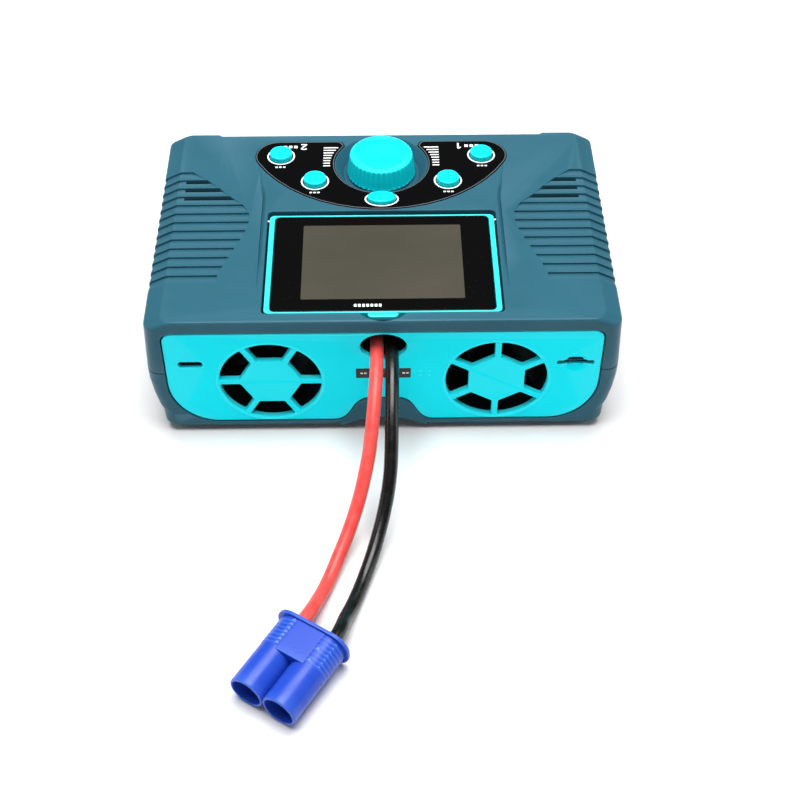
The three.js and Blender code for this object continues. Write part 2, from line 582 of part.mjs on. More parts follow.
function button({ x, y, rx, ry, height }) {
  const stem = prismZ(ellipse(x, y, rx, ry), BUTTON_FLANGE_TOP - 0.5, TOP_Z + height - 0.6, 8);
  const crown = prismZ(ellipse(x, y, rx - 0.6, ry - 0.6), TOP_Z + height - 1, TOP_Z + height, 8);
  const flange = prismZ(ellipse(x, y, rx + 0.9, ry + 0.9),
    BUTTON_FLANGE_TOP - 1.2, BUTTON_FLANGE_TOP, 4);
  const plunger = cylinder('z', 1.5, [x, y, BUTTON_FLANGE_TOP - 2.4], 3, 8);
  return union(stem, crown, flange, plunger);
}

const BOARD_TOP = 43;
const SWITCH_TOP = BUTTON_FLANGE_TOP - 3.9 - BUTTON_TRAVEL - GAP;

function tactSwitch({ x, y }) {
  const base = block(x - 3, x + 3, y - 3, y + 3, BOARD_TOP + GAP, SWITCH_TOP - 1);
  return base.add(cylinder('z', 1.7, [x, y, SWITCH_TOP - 1], 2, 10));
}

function switchBoard() {
  const outline = new THREE.Shape();
  outline.moveTo(-48, 46);
  outline.lineTo(-48, 34);
  outline.lineTo(-30, 16.5);
  outline.lineTo(-12, 9);
  outline.lineTo(12, 9);
  outline.lineTo(30, 16.5);
  outline.lineTo(48, 34);
  outline.lineTo(48, 46);
  return prismZ(outline, BOARD_TOP - 1.6, BOARD_TOP, 1);
}

// ---------------------------------------------------------------- fans
const FAN_FRONT = FRONT_Y + PANEL_RECESS + PANEL_THICKNESS + GAP;
const FAN_MID = FAN_FRONT + FAN_DEPTH / 2;

function fanFrame(x) {
  const half = FAN_SIZE / 2;
  const outside = prismY(roundedRect(x - half, x + half, FAN_Z - half, FAN_Z + half, 2.5),
    FAN_FRONT, FAN_FRONT + FAN_DEPTH, 2);
  const duct = cylinder('y', 18.9, [x, FAN_MID, FAN_Z], FAN_DEPTH + 2, 28);
  const hub = cylinder('y', 9, [x, FAN_FRONT + FAN_DEPTH - 1.25, FAN_Z], 2.5, 16);
  const struts = Array.from({ length: 2 }, (_, index) => {
    const bar = new THREE.BoxGeometry(FAN_SIZE - 1, 2, 2.2).rotateY((index - 0.5) * Math.PI / 2.4);
    return solid(bar.translate(x, FAN_FRONT + FAN_DEPTH - 1.1, FAN_Z));
  });
  return union(outside.subtract(duct), hub, ...struts);
}

function fanRotor(x) {
  const start = FAN_FRONT + 1.2;
  const end = FAN_FRONT + FAN_DEPTH - 3.2;
  const hub = cylinder('y', 8.6, [x, (start + end) / 2, FAN_Z], end - start, 16);
  const blades = Array.from({ length: 7 }, (_, index) => {
    const blade = new THREE.BoxGeometry(1.1, 8.6, 10.6).rotateZ(0.75).translate(0, 0, 12.6);
    blade.rotateY(index * Math.PI * 2 / 7);
    return solid(blade.translate(x, (start + end) / 2, FAN_Z));
  });
  return union(hub, ...blades);
}

// ---------------------------------------------------------------- inside
const MAIN_BOARD_TOP = 8.6;
const PORT_NEAR = FAN_FRONT;      // the ports and the grommet start in the fans' front plane

function mainBoard() {
  const board = block(-78, 78, -34, 48, MAIN_BOARD_TOP - 1.6, MAIN_BOARD_TOP);
  const corners = SCREW_SPOTS.map(([x, y]) => cylinder('z', 5.2, [x, y, MAIN_BOARD_TOP], 6, 16));
  return cut(board, ...corners);
}

function heatsink(x) {
  const base = block(x - 17, x + 17, -30, 20, MAIN_BOARD_TOP + GAP, MAIN_BOARD_TOP + 3.3);
  const fins = Array.from({ length: 8 }, (_, index) => {
    const finX = x - 16.2 + index * 4.63;
    return block(finX - 0.7, finX + 0.7, -30, 20, MAIN_BOARD_TOP + 2, MAIN_BOARD_TOP + 26);
  });
  return union(base, ...fins);
}

function inductor(x) {
  const core = [[4, 12], [11, 12], [11, 24], [4, 24], [4, 12]];
  return turned(core, x, 0, 14);
}

function capacitor(x) {
  const start = MAIN_BOARD_TOP + GAP;
  return turned([[0, start], [6.3, start], [6.3, 33.8], [0, 33.8]], x, 30, 14);
}

function buzzer() {
  const start = MAIN_BOARD_TOP + GAP;
  return turned([[0, start], [5, start], [5, 16], [1, 16], [1, 15], [0, 15]], 0, -26, 14);
}

// a metal shell open to the front, with a tongue across its middle
function portSocket([x0, x1, z0, z1], radius, wall, tongueX, depth) {
  const shell = prismY(roundedRect(x0, x1, z0, z1, radius), PORT_NEAR, PORT_NEAR + depth, 2);
  const well = prismY(roundedRect(x0 + wall, x1 - wall, z0 + wall, z1 - wall, radius - wall + 0.1),
    PORT_NEAR - 1, PORT_NEAR + depth - 1.5, 2);
  const middle = (z0 + z1) / 2;
  const tongue = block(...tongueX, PORT_NEAR + 0.8, PORT_NEAR + depth - 1, middle - 0.3, middle + 0.3);
  return union(shell.subtract(well), tongue);
}

// a rubber cup behind the fan panel; the leads come out of its end wall
function cableGrommet() {
  const { z, halfWidth, halfHeight } = CABLE_HOLE;
  const start = PORT_NEAR;
  const wallStart = LEAD_START + GAP;
  const cup = prismY(ellipse(0, z, halfWidth + 1.8, halfHeight + 1.8), start, wallStart + 2, 7);
  const well = prismY(ellipse(0, z, halfWidth, halfHeight), start - 1, wallStart, 7);
  const tubClearance = block(-20, 20, start - 1, start + 20, TUB.floor - TUB.wall - GAP, TOP_Z);
  return cut(cup, well, tubClearance);
}

// ---------------------------------------------------------------- leads and plug
function lead(route) {
  const points = route.map((point) => new THREE.Vector3(...point));
  const extrudePath = new THREE.CatmullRomCurve3(points, false, 'centripetal');
  const section = new THREE.Shape();
  section.absarc(0, 0, LEAD_DIAMETER / 2, 0, Math.PI * 2);
  const options = { extrudePath, steps: 16, curveSegments: 5, bevelEnabled: false };
  return solid(new THREE.ExtrudeGeometry(section, options));
}

// the plug is drawn along +Y, its back at the origin and its barrels resting at z = 0
function plugHousing() {
  const { length, barrelRadius, pitch, flangeHalfWidth, flangeHalf } = PLUG;
  const bodyLength = 14;
  const flangeOutline = roundedRect(-flangeHalfWidth, flangeHalfWidth, -flangeHalf, flangeHalf, 5.8);
  const flange = prismY(flangeOutline, 0, 1.6, 3);
  const grip = prismY(roundedRect(-13.1, 13.1, -6.6, 6.6, 5.6), 1, bodyLength, 3);
  const barrels = [-1, 1].map((end) =>
    cylinder('y', barrelRadius, [end * pitch / 2, length / 2 + 1, 0], length - 2, 24));
  const web = block(-2.5, 2.5, 2, length - 1.5, -2, 2);
  const bores = [-1, 1].map((end) =>
    cylinder('y', 5.4, [end * pitch / 2, length - 7, 0], 16, 20));
  const seats = [-1, 1].map((end) =>
    cylinder('y', 3, [end * pitch / 2, 8, 0], 18, 14));
  return cut(union(flange, grip, ...barrels, web), ...bores, ...seats);
}

function plugContact(end) {
  const x = end * PLUG.pitch / 2;
  const profile = [
    [0, 2.8], [2.6, 2.8], [2.6, 23.2], [2.2, 24.5], [0, 24.5],
  ];
  const points = profile.map(([radius, height]) => new THREE.Vector2(radius, height));
  return solid(new THREE.LatheGeometry(points, 16).translate(x, 0, 0));
}

// ---------------------------------------------------------------- feet and screws
function rubberFoot([x, y]) {
  const top = FOOT_HEIGHT - GAP;
  return turned([[0, 0], [5.6, 0], [6, 0.4], [6, top], [0, top]], x, y, 16);
}

function caseScrew([x, y]) {
  const headTop = BASE_Z + 1.7;
  const head = cylinder('z', SCREW.headRadius, [x, y, headTop - 0.7], 1.4, 16);
  const middle = (headTop + SCREW.tip) / 2 - 0.2;
  const thread = cylinder('z', SCREW.radius, [x, y, middle], SCREW.tip - headTop, 12);
  const drive = cylinder('z', 1.2, [x, y, headTop - 1.4], 1.4, 6);
  return union(head, thread).subtract(drive);
}

// ---------------------------------------------------------------- assembly
addNode('top_shell', topShell(), tealPlastic);
addNode('bottom_shell', bottomShell(), tealPlastic);
addNode('fan_panel', fanPanel(), cyanPlastic);
addNode('output_panel', outputPanel(), cyanPlastic);
addNode('control_overlay', controlOverlay(), overlayFilm);

addNode('display_frame', displayFrame(), cyanPlastic);
addNode('display_glass', displayGlass(), screenGlass);
addNode('lcd_module', lcdModule(), screenGrey);
addNode('hinge_pin_left', hingePin(-1), steel);
addNode('hinge_pin_right', hingePin(1), steel);

addNode('control_knob', controlKnob(), knobPlastic);
addNode('encoder_shaft', encoderShaft(), aluminium);
addNode('encoder_plunger', encoderPlunger(), brass);
addNode('encoder_body', encoderBody(), blackPlastic);
for (const spec of BUTTONS) {
  addNode(spec.name, button(spec), knobPlastic);
  addNode(spec.name.replace('button', 'switch'), tactSwitch(spec), steel);
}
addNode('switch_board', switchBoard(), boardGreen);

for (const [side, x] of [['left', -FAN_X], ['right', FAN_X]]) {
  addNode(`fan_frame_${side}`, fanFrame(x), blackPlastic);
  addNode(`fan_rotor_${side}`, fanRotor(x), blackPlastic);
  addNode(`heatsink_${side}`, heatsink(x * 1.2), aluminium);
}

addNode('main_board', mainBoard(), boardGreen);
for (const [number, x] of [[1, 13], [2, -13]]) {
  addNode(`inductor_${number}`, inductor(x), ferrite);
  addNode(`capacitor_${number}`, capacitor(x), blackPlastic);
}
addNode('buzzer', buzzer(), blackPlastic);
addNode('usb_socket', portSocket([-75.2, -66.4, 33.8, 36.6], 1.3, 0.3, [-74, -67.6], 7.4), steel);
addNode('card_socket', portSocket([63.8, 77.4, 33.1, 35.9], 0.6, 0.4, [64, 77.2], 13), steel);

for (const spec of SOCKETS) {
  const isOutput = spec.name.startsWith('output');
  addNode(spec.name, isOutput ? outputSocket(spec) : balanceSocket(spec), blackPlastic);
}

FOOT_SPOTS.forEach((spot, index) => addNode(`rubber_foot_${index + 1}`, rubberFoot(spot), rubber));
SCREW_SPOTS.forEach((spot, index) => addNode(`case_screw_${index + 1}`, caseScrew(spot), steel));

addNode('cable_grommet', cableGrommet(), rubber);
addNode('red_lead', lead(RED_ROUTE), redSilicone);
addNode('black_lead', lead(BLACK_ROUTE), blackSilicone);

const plug = new THREE.Group();
plug.position.set(PLUG_BACK.x, PLUG_BACK.y, PLUG_BACK.z);
plug.rotation.set(PLUG_DIP, 0, Math.PI + PLUG_TURN, 'ZYX');
charger.add(plug);
addNode('plug_housing', plugHousing(), plugBlue, plug);
addNode('plug_contact_1', plugContact(-1), brass, plug);
addNode('plug_contact_2', plugContact(1), brass, plug);

export default charger;
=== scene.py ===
import math

import bmesh
import bpy
from mathutils import Matrix, Vector


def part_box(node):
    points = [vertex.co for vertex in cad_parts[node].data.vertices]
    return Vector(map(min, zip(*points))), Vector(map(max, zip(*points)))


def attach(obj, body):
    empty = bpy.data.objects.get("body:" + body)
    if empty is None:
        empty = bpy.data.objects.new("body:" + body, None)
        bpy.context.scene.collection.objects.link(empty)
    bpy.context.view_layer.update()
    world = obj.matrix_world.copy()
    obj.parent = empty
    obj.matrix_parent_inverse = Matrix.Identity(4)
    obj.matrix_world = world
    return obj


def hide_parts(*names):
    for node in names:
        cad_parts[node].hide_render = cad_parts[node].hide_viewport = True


# Looks of a benchtop balance battery charger: a moulded case with a tilting display, a
# push-turn knob and five domed buttons, a turquoise fan panel, and two silicone leads that end
# in a two-pole plug.  The outlines below are in millimetres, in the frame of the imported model.

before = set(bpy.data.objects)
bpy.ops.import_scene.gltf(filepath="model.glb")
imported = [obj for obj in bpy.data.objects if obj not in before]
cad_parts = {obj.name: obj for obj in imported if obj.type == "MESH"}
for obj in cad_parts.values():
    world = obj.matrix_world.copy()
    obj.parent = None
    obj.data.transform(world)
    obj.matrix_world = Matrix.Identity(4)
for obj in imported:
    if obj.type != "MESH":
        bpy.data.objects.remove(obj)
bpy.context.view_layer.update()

MM = 0.001
GAP = 0.3
WALL = 2.4


def span(*nodes):
    """Lowest and highest corner of some CAD nodes, in millimetres."""
    boxes = [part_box(node) for node in nodes]
    low = [min(box[0][axis] for box in boxes) / MM for axis in range(3)]
    high = [max(box[1][axis] for box in boxes) / MM for axis in range(3)]
    return Vector(low), Vector(high)


# ---------------------------------------------------------------- sizes taken from the frame
CASE_LOW, CASE_HIGH = span("top_shell", "bottom_shell")
FRONT = -CASE_LOW.y
BACK = CASE_HIGH.y
BASE = CASE_LOW.z
TOP = CASE_HIGH.z
PARTING_GAP = 0.15
PARTING = span("bottom_shell")[1].z + PARTING_GAP
PANEL_LOW, PANEL_HIGH = span("fan_panel")
OUTPUT_LOW, OUTPUT_HIGH = span("output_panel")
FILM_TOP = span("control_overlay")[1].z
DISPLAY_LOW, DISPLAY_HIGH = span("display_frame")
GLASS_LOW, GLASS_HIGH = span("display_glass")
KNOB_LOW, KNOB_HIGH = span("control_knob")
KNOB_Y = (KNOB_LOW.y + KNOB_HIGH.y) / 2
FAN_Z = sum(corner.z for corner in span("fan_frame_left")) / 2
FAN_X = sum(corner.x for corner in span("fan_frame_right")) / 2
FAN_FRONT = span("fan_frame_left")[0].y
FAN_BACK = span("fan_frame_left")[1].y

# ---------------------------------------------------------------- the rest of the design's sizes
EAR_STEP = 1.8
EAR_X = 66.7
SIDE_PROFILE = [          # right side of the case from the base up: x, z, softening radius
    (81.5, 1.5, 0), (83.5, 3.6, 1.6), (83.8, 9.5, 0.8), (85.0, 12.8, 2), (86.3, 19.0, 5),
    (87.1, 26.0, 8), (87.2, 31.0, 9), (86.9, 38.0, 9), (86.2, 53.2, 1.5), (79.6, 56.5, 1.6),
    (74.0, 56.5, 0),
]
EDGE_PROFILE = [          # front and back edge: distance in from the face, z, softening radius
    (1.5, 1.5, 0), (0, 4.0, 1.6), (0, 55.5, 0.4),
    (0.35, 56.2, 0.3), (1.1, 56.5, 0.4), (8, 56.5, 0),
]
NEAR_CORNER = 5
FAR_CORNER = 3.5
PANEL_GAP = 0.45

TUB = {"half_width": 43.8, "near": -52.0, "far": 6.0, "floor": 50.3}
NOTCH = {"radius": 10.5, "near": -55.9, "floor": 53.0}
DISH = {"radius": 18.3, "floor": 51.9, "floor_radius": 15.2}
FILM_ARC = {"y": 62.4, "radius": 55.5, "far": 50.4, "corner": 9.3}
FILM_BAY = {"radius": 18.9, "far": 48.4}
GRIP = {"count": 13, "pitch": 5.16, "near": -30.8, "depth": 0.9, "bottom": 38}
GRIP_INNER = [60.9, 59.2, 57.2, 55.4, 53.4, 51.7, 50.9, 51.1, 53.9, 59.4, 63.6, 68.8, 75]
VENT_ROWS = (9, 10, 11)
VENT = {"outer": 77, "width": 2.1}
CREASE = [(46.1, -38), (46.1, 15), (47.1, 21.5), (48.6, 33.9)]
PANEL_BAY_TOP = 17.2
LEAD_HOLE = {"z": 43.5, "half_width": 8.5, "half_height": 6.2}
FAN_TILT = {"left": 0, "right": math.pi / 6}
GRILLE = {"outer": 19.0, "hub": 10.4, "spoke": 1.15, "ring": 19.85}
BUTTON_NAMES = ["mode_1", "status_1", "tab", "status_2", "mode_2"]
BUTTON_FLANGE = 0.9

LEAD_DIAMETER = 0.005
RED_ROUTE = [
    (-0.0024, -0.0466, 0.0407), (-0.0024, -0.0520, 0.0407), (-0.0024, -0.0580, 0.0406),
    (-0.0026, -0.0640, 0.0399), (-0.0029, -0.0700, 0.0384), (-0.0034, -0.0760, 0.0358),
    (-0.0040, -0.0815, 0.0326), (-0.0047, -0.0865, 0.0291), (-0.0055, -0.0915, 0.0252),
    (-0.0068, -0.0965, 0.0211), (-0.0086, -0.1020, 0.0161), (-0.0109, -0.1080, 0.0113),
    (-0.0136, -0.1145, 0.0074), (-0.0164, -0.1210, 0.0046), (-0.0191, -0.1280, 0.0029),
    (-0.0215, -0.1345, 0.0031), (-0.0235, -0.1400, 0.0046), (-0.0252, -0.1449, 0.0064),
    (-0.0273, -0.1493, 0.0075), (-0.0306, -0.1545, 0.0076),
]
BLACK_ROUTE = [
    (0.0031, -0.0466, 0.0407), (0.0031, -0.0520, 0.0407), (0.0031, -0.0580, 0.0406),
    (0.0031, -0.0640, 0.0399), (0.0030, -0.0700, 0.0384), (0.0029, -0.0760, 0.0358),
    (0.0027, -0.0815, 0.0326), (0.0026, -0.0865, 0.0291), (0.0024, -0.0915, 0.0252),
    (0.0020, -0.0965, 0.0211), (0.0010, -0.1020, 0.0161), (-0.0006, -0.1080, 0.0113),
    (-0.0026, -0.1145, 0.0074), (-0.0047, -0.1210, 0.0046), (-0.0071, -0.1280, 0.0029),
    (-0.0096, -0.1355, 0.0026), (-0.0119, -0.1420, 0.0032), (-0.0138, -0.1475, 0.0048),
    (-0.0150, -0.1523, 0.0067), (-0.0166, -0.1566, 0.0076), (-0.0197, -0.1616, 0.0076),
]

PLUG = {"length": 30, "barrel": 6.5, "pitch": 12.8, "flange_half_width": 14.1, "flange_half": 7.5}
PLUG_BACK = (-23.8, -156.0, 7.7)
PLUG_TURN = math.pi - 0.58
PLUG_DIP = -0.034


# ---------------------------------------------------------------- outlines
def arc(u, v, radius, start, end, steps=None, radius_v=None):
    """Points of an arc about u, v, both ends included."""
    radius_v = radius if radius_v is None else radius_v
    steps = steps or max(3, int(abs(end - start) / math.radians(7)))
    angles = [start + (end - start) * i / steps for i in range(steps + 1)]
    return [(u + radius * math.cos(a), v + radius_v * math.sin(a)) for a in angles]


def ellipse(u, v, radius_u, radius_v, steps=64):
    return arc(u, v, radius_u, 0, 2 * math.pi, steps, radius_v)[:-1]


def rounded_rect(u0, u1, v0, v1, radius, steps=8):
    quarter = math.pi / 2
    return (arc(u1 - radius, v0 + radius, radius, -quarter, 0, steps)
            + arc(u1 - radius, v1 - radius, radius, 0, quarter, steps)
            + arc(u0 + radius, v1 - radius, radius, quarter, 2 * quarter, steps)
            + arc(u0 + radius, v0 + radius, radius, 2 * quarter, 3 * quarter, steps))


def turned_outline(outline, u, v, angle):
    """An outline drawn about the origin, turned and then moved to u, v."""
    cos, sin = math.cos(angle), math.sin(angle)
    return [(u + a * cos - b * sin, v + a * sin + b * cos) for a, b in outline]


def bezier(start, one, two, end, steps=12):
    points = []
    for i in range(steps + 1):
        t = i / steps
        weights = ((1 - t) ** 3, 3 * t * (1 - t) ** 2, 3 * t * t * (1 - t), t ** 3)
        points.append(tuple(sum(w * p[axis] for w, p in zip(weights, (start, one, two, end)))
                            for axis in (0, 1)))
    return points


def clean(outline, closed=True):
    """The outline without points that lie on top of each other."""
    kept = []
    for point in outline:
        if not kept or math.dist(point, kept[-1]) > 1e-4:
            kept.append(point)
    if closed and math.dist(kept[0], kept[-1]) <= 1e-4:
        kept.pop()
    return kept


def softened(points, closed=False, steps=4):
    """A polyline whose corners (u, v, radius) are rounded off."""
    result = []
    count = len(points)
    for i, (u, v, radius) in enumerate(points):
        if radius == 0 or (not closed and i in (0, count - 1)):
            result.append((u, v))
            continue
        here = Vector((u, v))
        to_before = Vector(points[i - 1][:2]) - here
        to_after = Vector(points[(i + 1) % count][:2]) - here
        turn = math.pi - to_before.angle(to_after)
        reach = min(radius * math.tan(turn / 2), 0.48 * to_before.length, 0.48 * to_after.length)
        start = here + to_before.normalized() * reach
        end = here + to_after.normalized() * reach
        for k in range(steps + 1):
            t = k / steps
            point = start * (1 - t) ** 2 + here * 2 * t * (1 - t) + end * t * t
            result.append((point.x, point.y))
    return clean(result, closed)


def offset(outline, distance):
    """A counterclockwise outline moved outwards by distance."""
    if not distance:
        return list(outline)
    moved = []
    count = len(outline)
    for i, (u, v) in enumerate(outline):
        before = Vector(outline[i - 1])
        after = Vector(outline[(i + 1) % count])
        here = Vector((u, v))
        one = (here - before).normalized()
        two = (after - here).normalized()
        normal_one = Vector((one.y, -one.x))
        normal_two = Vector((two.y, -two.x))
        share = max(0.35, 1 + normal_one.dot(normal_two))
        moved.append(tuple(here + (normal_one + normal_two) * distance / share))
    return moved


def interpolate(x, xs, ys):
    """Value at x of the line through xs, ys, with xs rising."""
    if x <= xs[0]:
        return ys[0]
    for i in range(1, len(xs)):
        if x <= xs[i]:
            share = (x - xs[i - 1]) / (xs[i] - xs[i - 1])
            return ys[i - 1] + share * (ys[i] - ys[i - 1])
    return ys[-1]


# ---------------------------------------------------------------- where an outline is drawn
# Each turns u, v and the height h above that face's zero plane into x, y, z.
def on_top(u, v, h):
    return (u, v, h)


def on_front(u, v, h):
    return (u, -h, v)


def on_back(u, v, h):
    return (-u, h, v)


def on_base(u, v, h):
    return (u, -v, -h)


# ---------------------------------------------------------------- solids
def solid(name, vertices, faces, scale=MM):
    """A mesh object with its faces pointing out; vertices in millimetres."""
    mesh = bpy.data.meshes.new(name)
    mesh.from_pydata([tuple(c * scale for c in vertex) for vertex in vertices], [], faces)
    build = bmesh.new()
    build.from_mesh(mesh)
    bmesh.ops.recalc_face_normals(build, faces=build.faces)
    build.to_mesh(mesh)
    build.free()
    piece = bpy.data.objects.new(name, mesh)
    bpy.context.scene.collection.objects.link(piece)
    return piece


def loft(name, rings, loop=False):
    """A solid through rings of as many points each; loop joins the last ring to the first."""
    count = len(rings[0])
    vertices = [point for ring in rings for point in ring]
    faces = []
    for level in range(len(rings) if loop else len(rings) - 1):
        below = level * count
        above = ((level + 1) % len(rings)) * count
        for i in range(count):
            j = (i + 1) % count
            faces.append((below + i, below + j, above + j, above + i))
    if not loop:
        faces.append(tuple(reversed(range(count))))
        faces.append(tuple(range(len(vertices) - count, len(vertices))))
    return solid(name, vertices, faces)


def quarter_round(radius, steps=4):
    """Inset and drop along a rounded edge, from the side wall to the flat."""
    if not radius:
        return [(0, 0)]
    angles = [math.pi / 2 * i / steps for i in range(steps + 1)]
    return [(radius * (1 - math.cos(a)), radius * (1 - math.sin(a))) for a in angles]


def ring_at(outline, grow, h, face):
    return [face(u, v, h) for u, v in offset(outline, grow)]


def slab(name, outline, h0, h1, round0=0.0, round1=0.0, face=on_top, steps=4):
    """A plate with rounded edges: round0 at its lower face, round1 at its upper face."""
    outline = clean(outline)
    rings = [ring_at(outline, -inset, h0 + drop, face)
             for inset, drop in reversed(quarter_round(round0, steps))]
    rings += [ring_at(outline, -inset, h1 - drop, face) for inset, drop in quarter_round(round1, steps)]
    return loft(name, rings)


def pocket(outline, floor, surface, rim=0.0, fillet=0.0, face=on_top, steps=4):
    """A tool that cuts a pocket whose mouth is rounded over by rim and whose floor by fillet."""
    outline = clean(outline)
    rings = [ring_at(outline, -inset, floor + drop, face)
             for inset, drop in reversed(quarter_round(fillet, steps))]
    rings += [ring_at(outline, inset, surface - drop, face) for inset, drop in quarter_round(rim, steps)]
    rings.append(ring_at(outline, rim, surface + 1.5, face))
    return loft("tool", rings)


def turned(name, profile, u, v, face=on_top, steps=64, wave=None):
    """A profile of radius, height pairs turned about the axis through u, v."""
    rings = []
    for radius, height in profile:
        ring = []
        for i in range(steps):
            angle = 2 * math.pi * i / steps
            reach = radius + (wave(angle, radius, height) if wave else 0)
            ring.append(face(u + reach * math.cos(angle), v + reach * math.sin(angle), height))
        rings.append(ring)
    return loft(name, rings)


def revolved_loop(name, profile, u, v, face=on_top, steps=96):
    """A closed profile of radius, height pairs turned into a ring."""
    rings = []
    for i in range(steps):
        angle = 2 * math.pi * i / steps
        rings.append([face(u + r * math.cos(angle), v + r * math.sin(angle), h) for r, h in profile])
    return loft(name, rings, loop=True)


def mirrored_x(piece):
    """A copy of a piece on the other side of the case."""
    mesh = piece.data.copy()
    mesh.transform(Matrix.Diagonal((-1, 1, 1, 1)))
    mesh.flip_normals()
    twin = bpy.data.objects.new(piece.name + "_twin", mesh)
    bpy.context.scene.collection.objects.link(twin)
    return twin


def combine(piece, tools, operation="DIFFERENCE"):
    """Cuts the tools from the piece, or joins them to it, and removes them."""
    for tool in tools:
        modifier = piece.modifiers.new("cut", "BOOLEAN")
        modifier.operation = operation
        modifier.solver = "MANIFOLD"
        modifier.object = tool
    bpy.context.view_layer.update()
    evaluated = piece.evaluated_get(bpy.context.evaluated_depsgraph_get())
    mesh = bpy.data.meshes.new_from_object(evaluated)
    piece.modifiers.clear()
    old = piece.data
    piece.data = mesh
    bpy.data.meshes.remove(old)
    for tool in tools:
        tool_mesh = tool.data
        bpy.data.objects.remove(tool)
        bpy.data.meshes.remove(tool_mesh)
    if not mesh.polygons:
        raise RuntimeError(f"{piece.name}: nothing is left after a {operation.lower()}")
    return piece


def merged(name, parts):
    """One object with the meshes of several that don't touch."""
    build = bmesh.new()
    for part in parts:
        build.from_mesh(part.data)
    mesh = bpy.data.meshes.new(name)
    build.to_mesh(mesh)
    build.free()
    for part in parts:
        part_mesh = part.data
        bpy.data.objects.remove(part)
        bpy.data.meshes.remove(part_mesh)
    piece = bpy.data.objects.new(name, mesh)
    bpy.context.scene.collection.objects.link(piece)
    return piece


def shaded(piece, angle=32):
    """Smooth shading between faces that meet at less than angle, kept flat on large faces."""
    limit = math.radians(angle)
    build = bmesh.new()
    build.from_mesh(piece.data)
    bmesh.ops.remove_doubles(build, verts=build.verts, dist=0.004 * MM)
    for face in build.faces:
        face.smooth = True
    for edge in build.edges:
        edge.smooth = len(edge.link_faces) == 2 and edge.calc_face_angle(0) < limit
    build.to_mesh(piece.data)
    build.free()
    weighted = piece.modifiers.new("weighted normals", "WEIGHTED_NORMAL")
    weighted.keep_sharp = True
    weighted.weight = 80
    return piece


def place(piece, body, material, replaces=(), angle=32):
    """Gives a finished piece its shading, material and body, and hides the CAD nodes that it stands for."""
    shaded(piece, angle)
    piece.data.materials.clear()
    piece.data.materials.append(material)
    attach(piece, body)
    if replaces:
        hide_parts(*replaces)
    return piece


# ---------------------------------------------------------------- materials
def new_material(name, color, roughness, metallic=0.0, specular=0.5):
    material = bpy.data.materials.new(name)
    material.use_nodes = True
    tree = material.node_tree
    shader = tree.nodes["Principled BSDF"]
    shader.inputs["Base Color"].default_value = (*color, 1)
    shader.inputs["Roughness"].default_value = roughness
    shader.inputs["Metallic"].default_value = metallic
    shader.inputs["Specular IOR Level"].default_value = specular
    return material, tree, shader


def add_node(tree, kind, **values):
    node = tree.nodes.new(kind)
    for key, value in values.items():
        if key in node.inputs:
            node.inputs[key].default_value = value
        else:
            setattr(node, key, value)
    return node


def noise_node(tree, scale, detail=4.0, roughness=0.55, stretch=(1, 1, 1)):
    """Noise in the object's own coordinates, so that it stays put when a piece moves."""
    place_node = tree.nodes.new("ShaderNodeTexCoord")
    mapping = tree.nodes.new("ShaderNodeMapping")
    mapping.inputs["Scale"].default_value = stretch
    tree.links.new(place_node.outputs["Object"], mapping.inputs["Vector"])
    texture = add_node(tree, "ShaderNodeTexNoise", Scale=scale, Detail=detail, Roughness=roughness)
    tree.links.new(mapping.outputs["Vector"], texture.inputs["Vector"])
    return texture


def ramp(tree, source, low, high, from_min=0.3, from_max=0.7):
    """A mask or value that runs from low to high as the source does from from_min to from_max."""
    node = tree.nodes.new("ShaderNodeMapRange")
    node.inputs["From Min"].default_value = from_min
    node.inputs["From Max"].default_value = from_max
    node.inputs["To Min"].default_value = low
    node.inputs["To Max"].default_value = high
    tree.links.new(source, node.inputs["Value"])
    return node.outputs["Result"]


def mix_colors(tree, mask, one, two):
    node = tree.nodes.new("ShaderNodeMix")
    node.data_type = "RGBA"
    for socket, value in ((node.inputs[6], one), (node.inputs[7], two)):
        if isinstance(value, tuple):
            socket.default_value = (*value, 1)
        else:
            tree.links.new(value, socket)
    tree.links.new(mask, node.inputs[0])
    return node.outputs[2]


def add_bump(tree, shader, height, strength, distance):
    bump = tree.nodes.new("ShaderNodeBump")
    bump.inputs["Strength"].default_value = strength
    bump.inputs["Distance"].default_value = distance
    tree.links.new(height, bump.inputs["Height"])
    tree.links.new(bump.outputs["Normal"], shader.inputs["Normal"])


def painted_highlight_mask(tree, low=0.51, high=0.6):
    """1 along convex edges, where moulded plastic is painted paler as a highlight."""
    geometry = tree.nodes.new("ShaderNodeNewGeometry")
    return ramp(tree, geometry.outputs["Pointiness"], 0.0, 1.0, low, high)


def moulded_plastic(name, color, pale, roughness, grain=2600, grain_depth=0.00003, edge=0.5,
                    specular=0.5, blotch=0.06):
    """Moulded plastic: slightly uneven colour, fine grain, and convex edges painted paler as a highlight."""
    material, tree, shader = new_material(name, color, roughness, specular=specular)
    cloud = noise_node(tree, 28, 5)
    deep = tuple(c * (1 - blotch) for c in color)
    light = tuple(min(1, c * (1 + blotch)) for c in color)
    uneven = mix_colors(tree, ramp(tree, cloud.outputs["Fac"], 0, 1), deep, light)
    # Painted highlight: convex edges are mixed towards the pale colour, as much as edge says.
    edges = tree.nodes.new("ShaderNodeMath")
    edges.operation = "MULTIPLY"
    edges.inputs[1].default_value = edge
    tree.links.new(painted_highlight_mask(tree), edges.inputs[0])
    tree.links.new(mix_colors(tree, edges.outputs[0], uneven, pale), shader.inputs["Base Color"])
    smear = noise_node(tree, 90, 3, stretch=(1, 2.5, 1))
    tree.links.new(ramp(tree, smear.outputs["Fac"], roughness - 0.05, roughness + 0.07),
                   shader.inputs["Roughness"])
    fine = noise_node(tree, grain, 2)
    add_bump(tree, shader, fine.outputs["Fac"], 0.35, grain_depth)
    return material


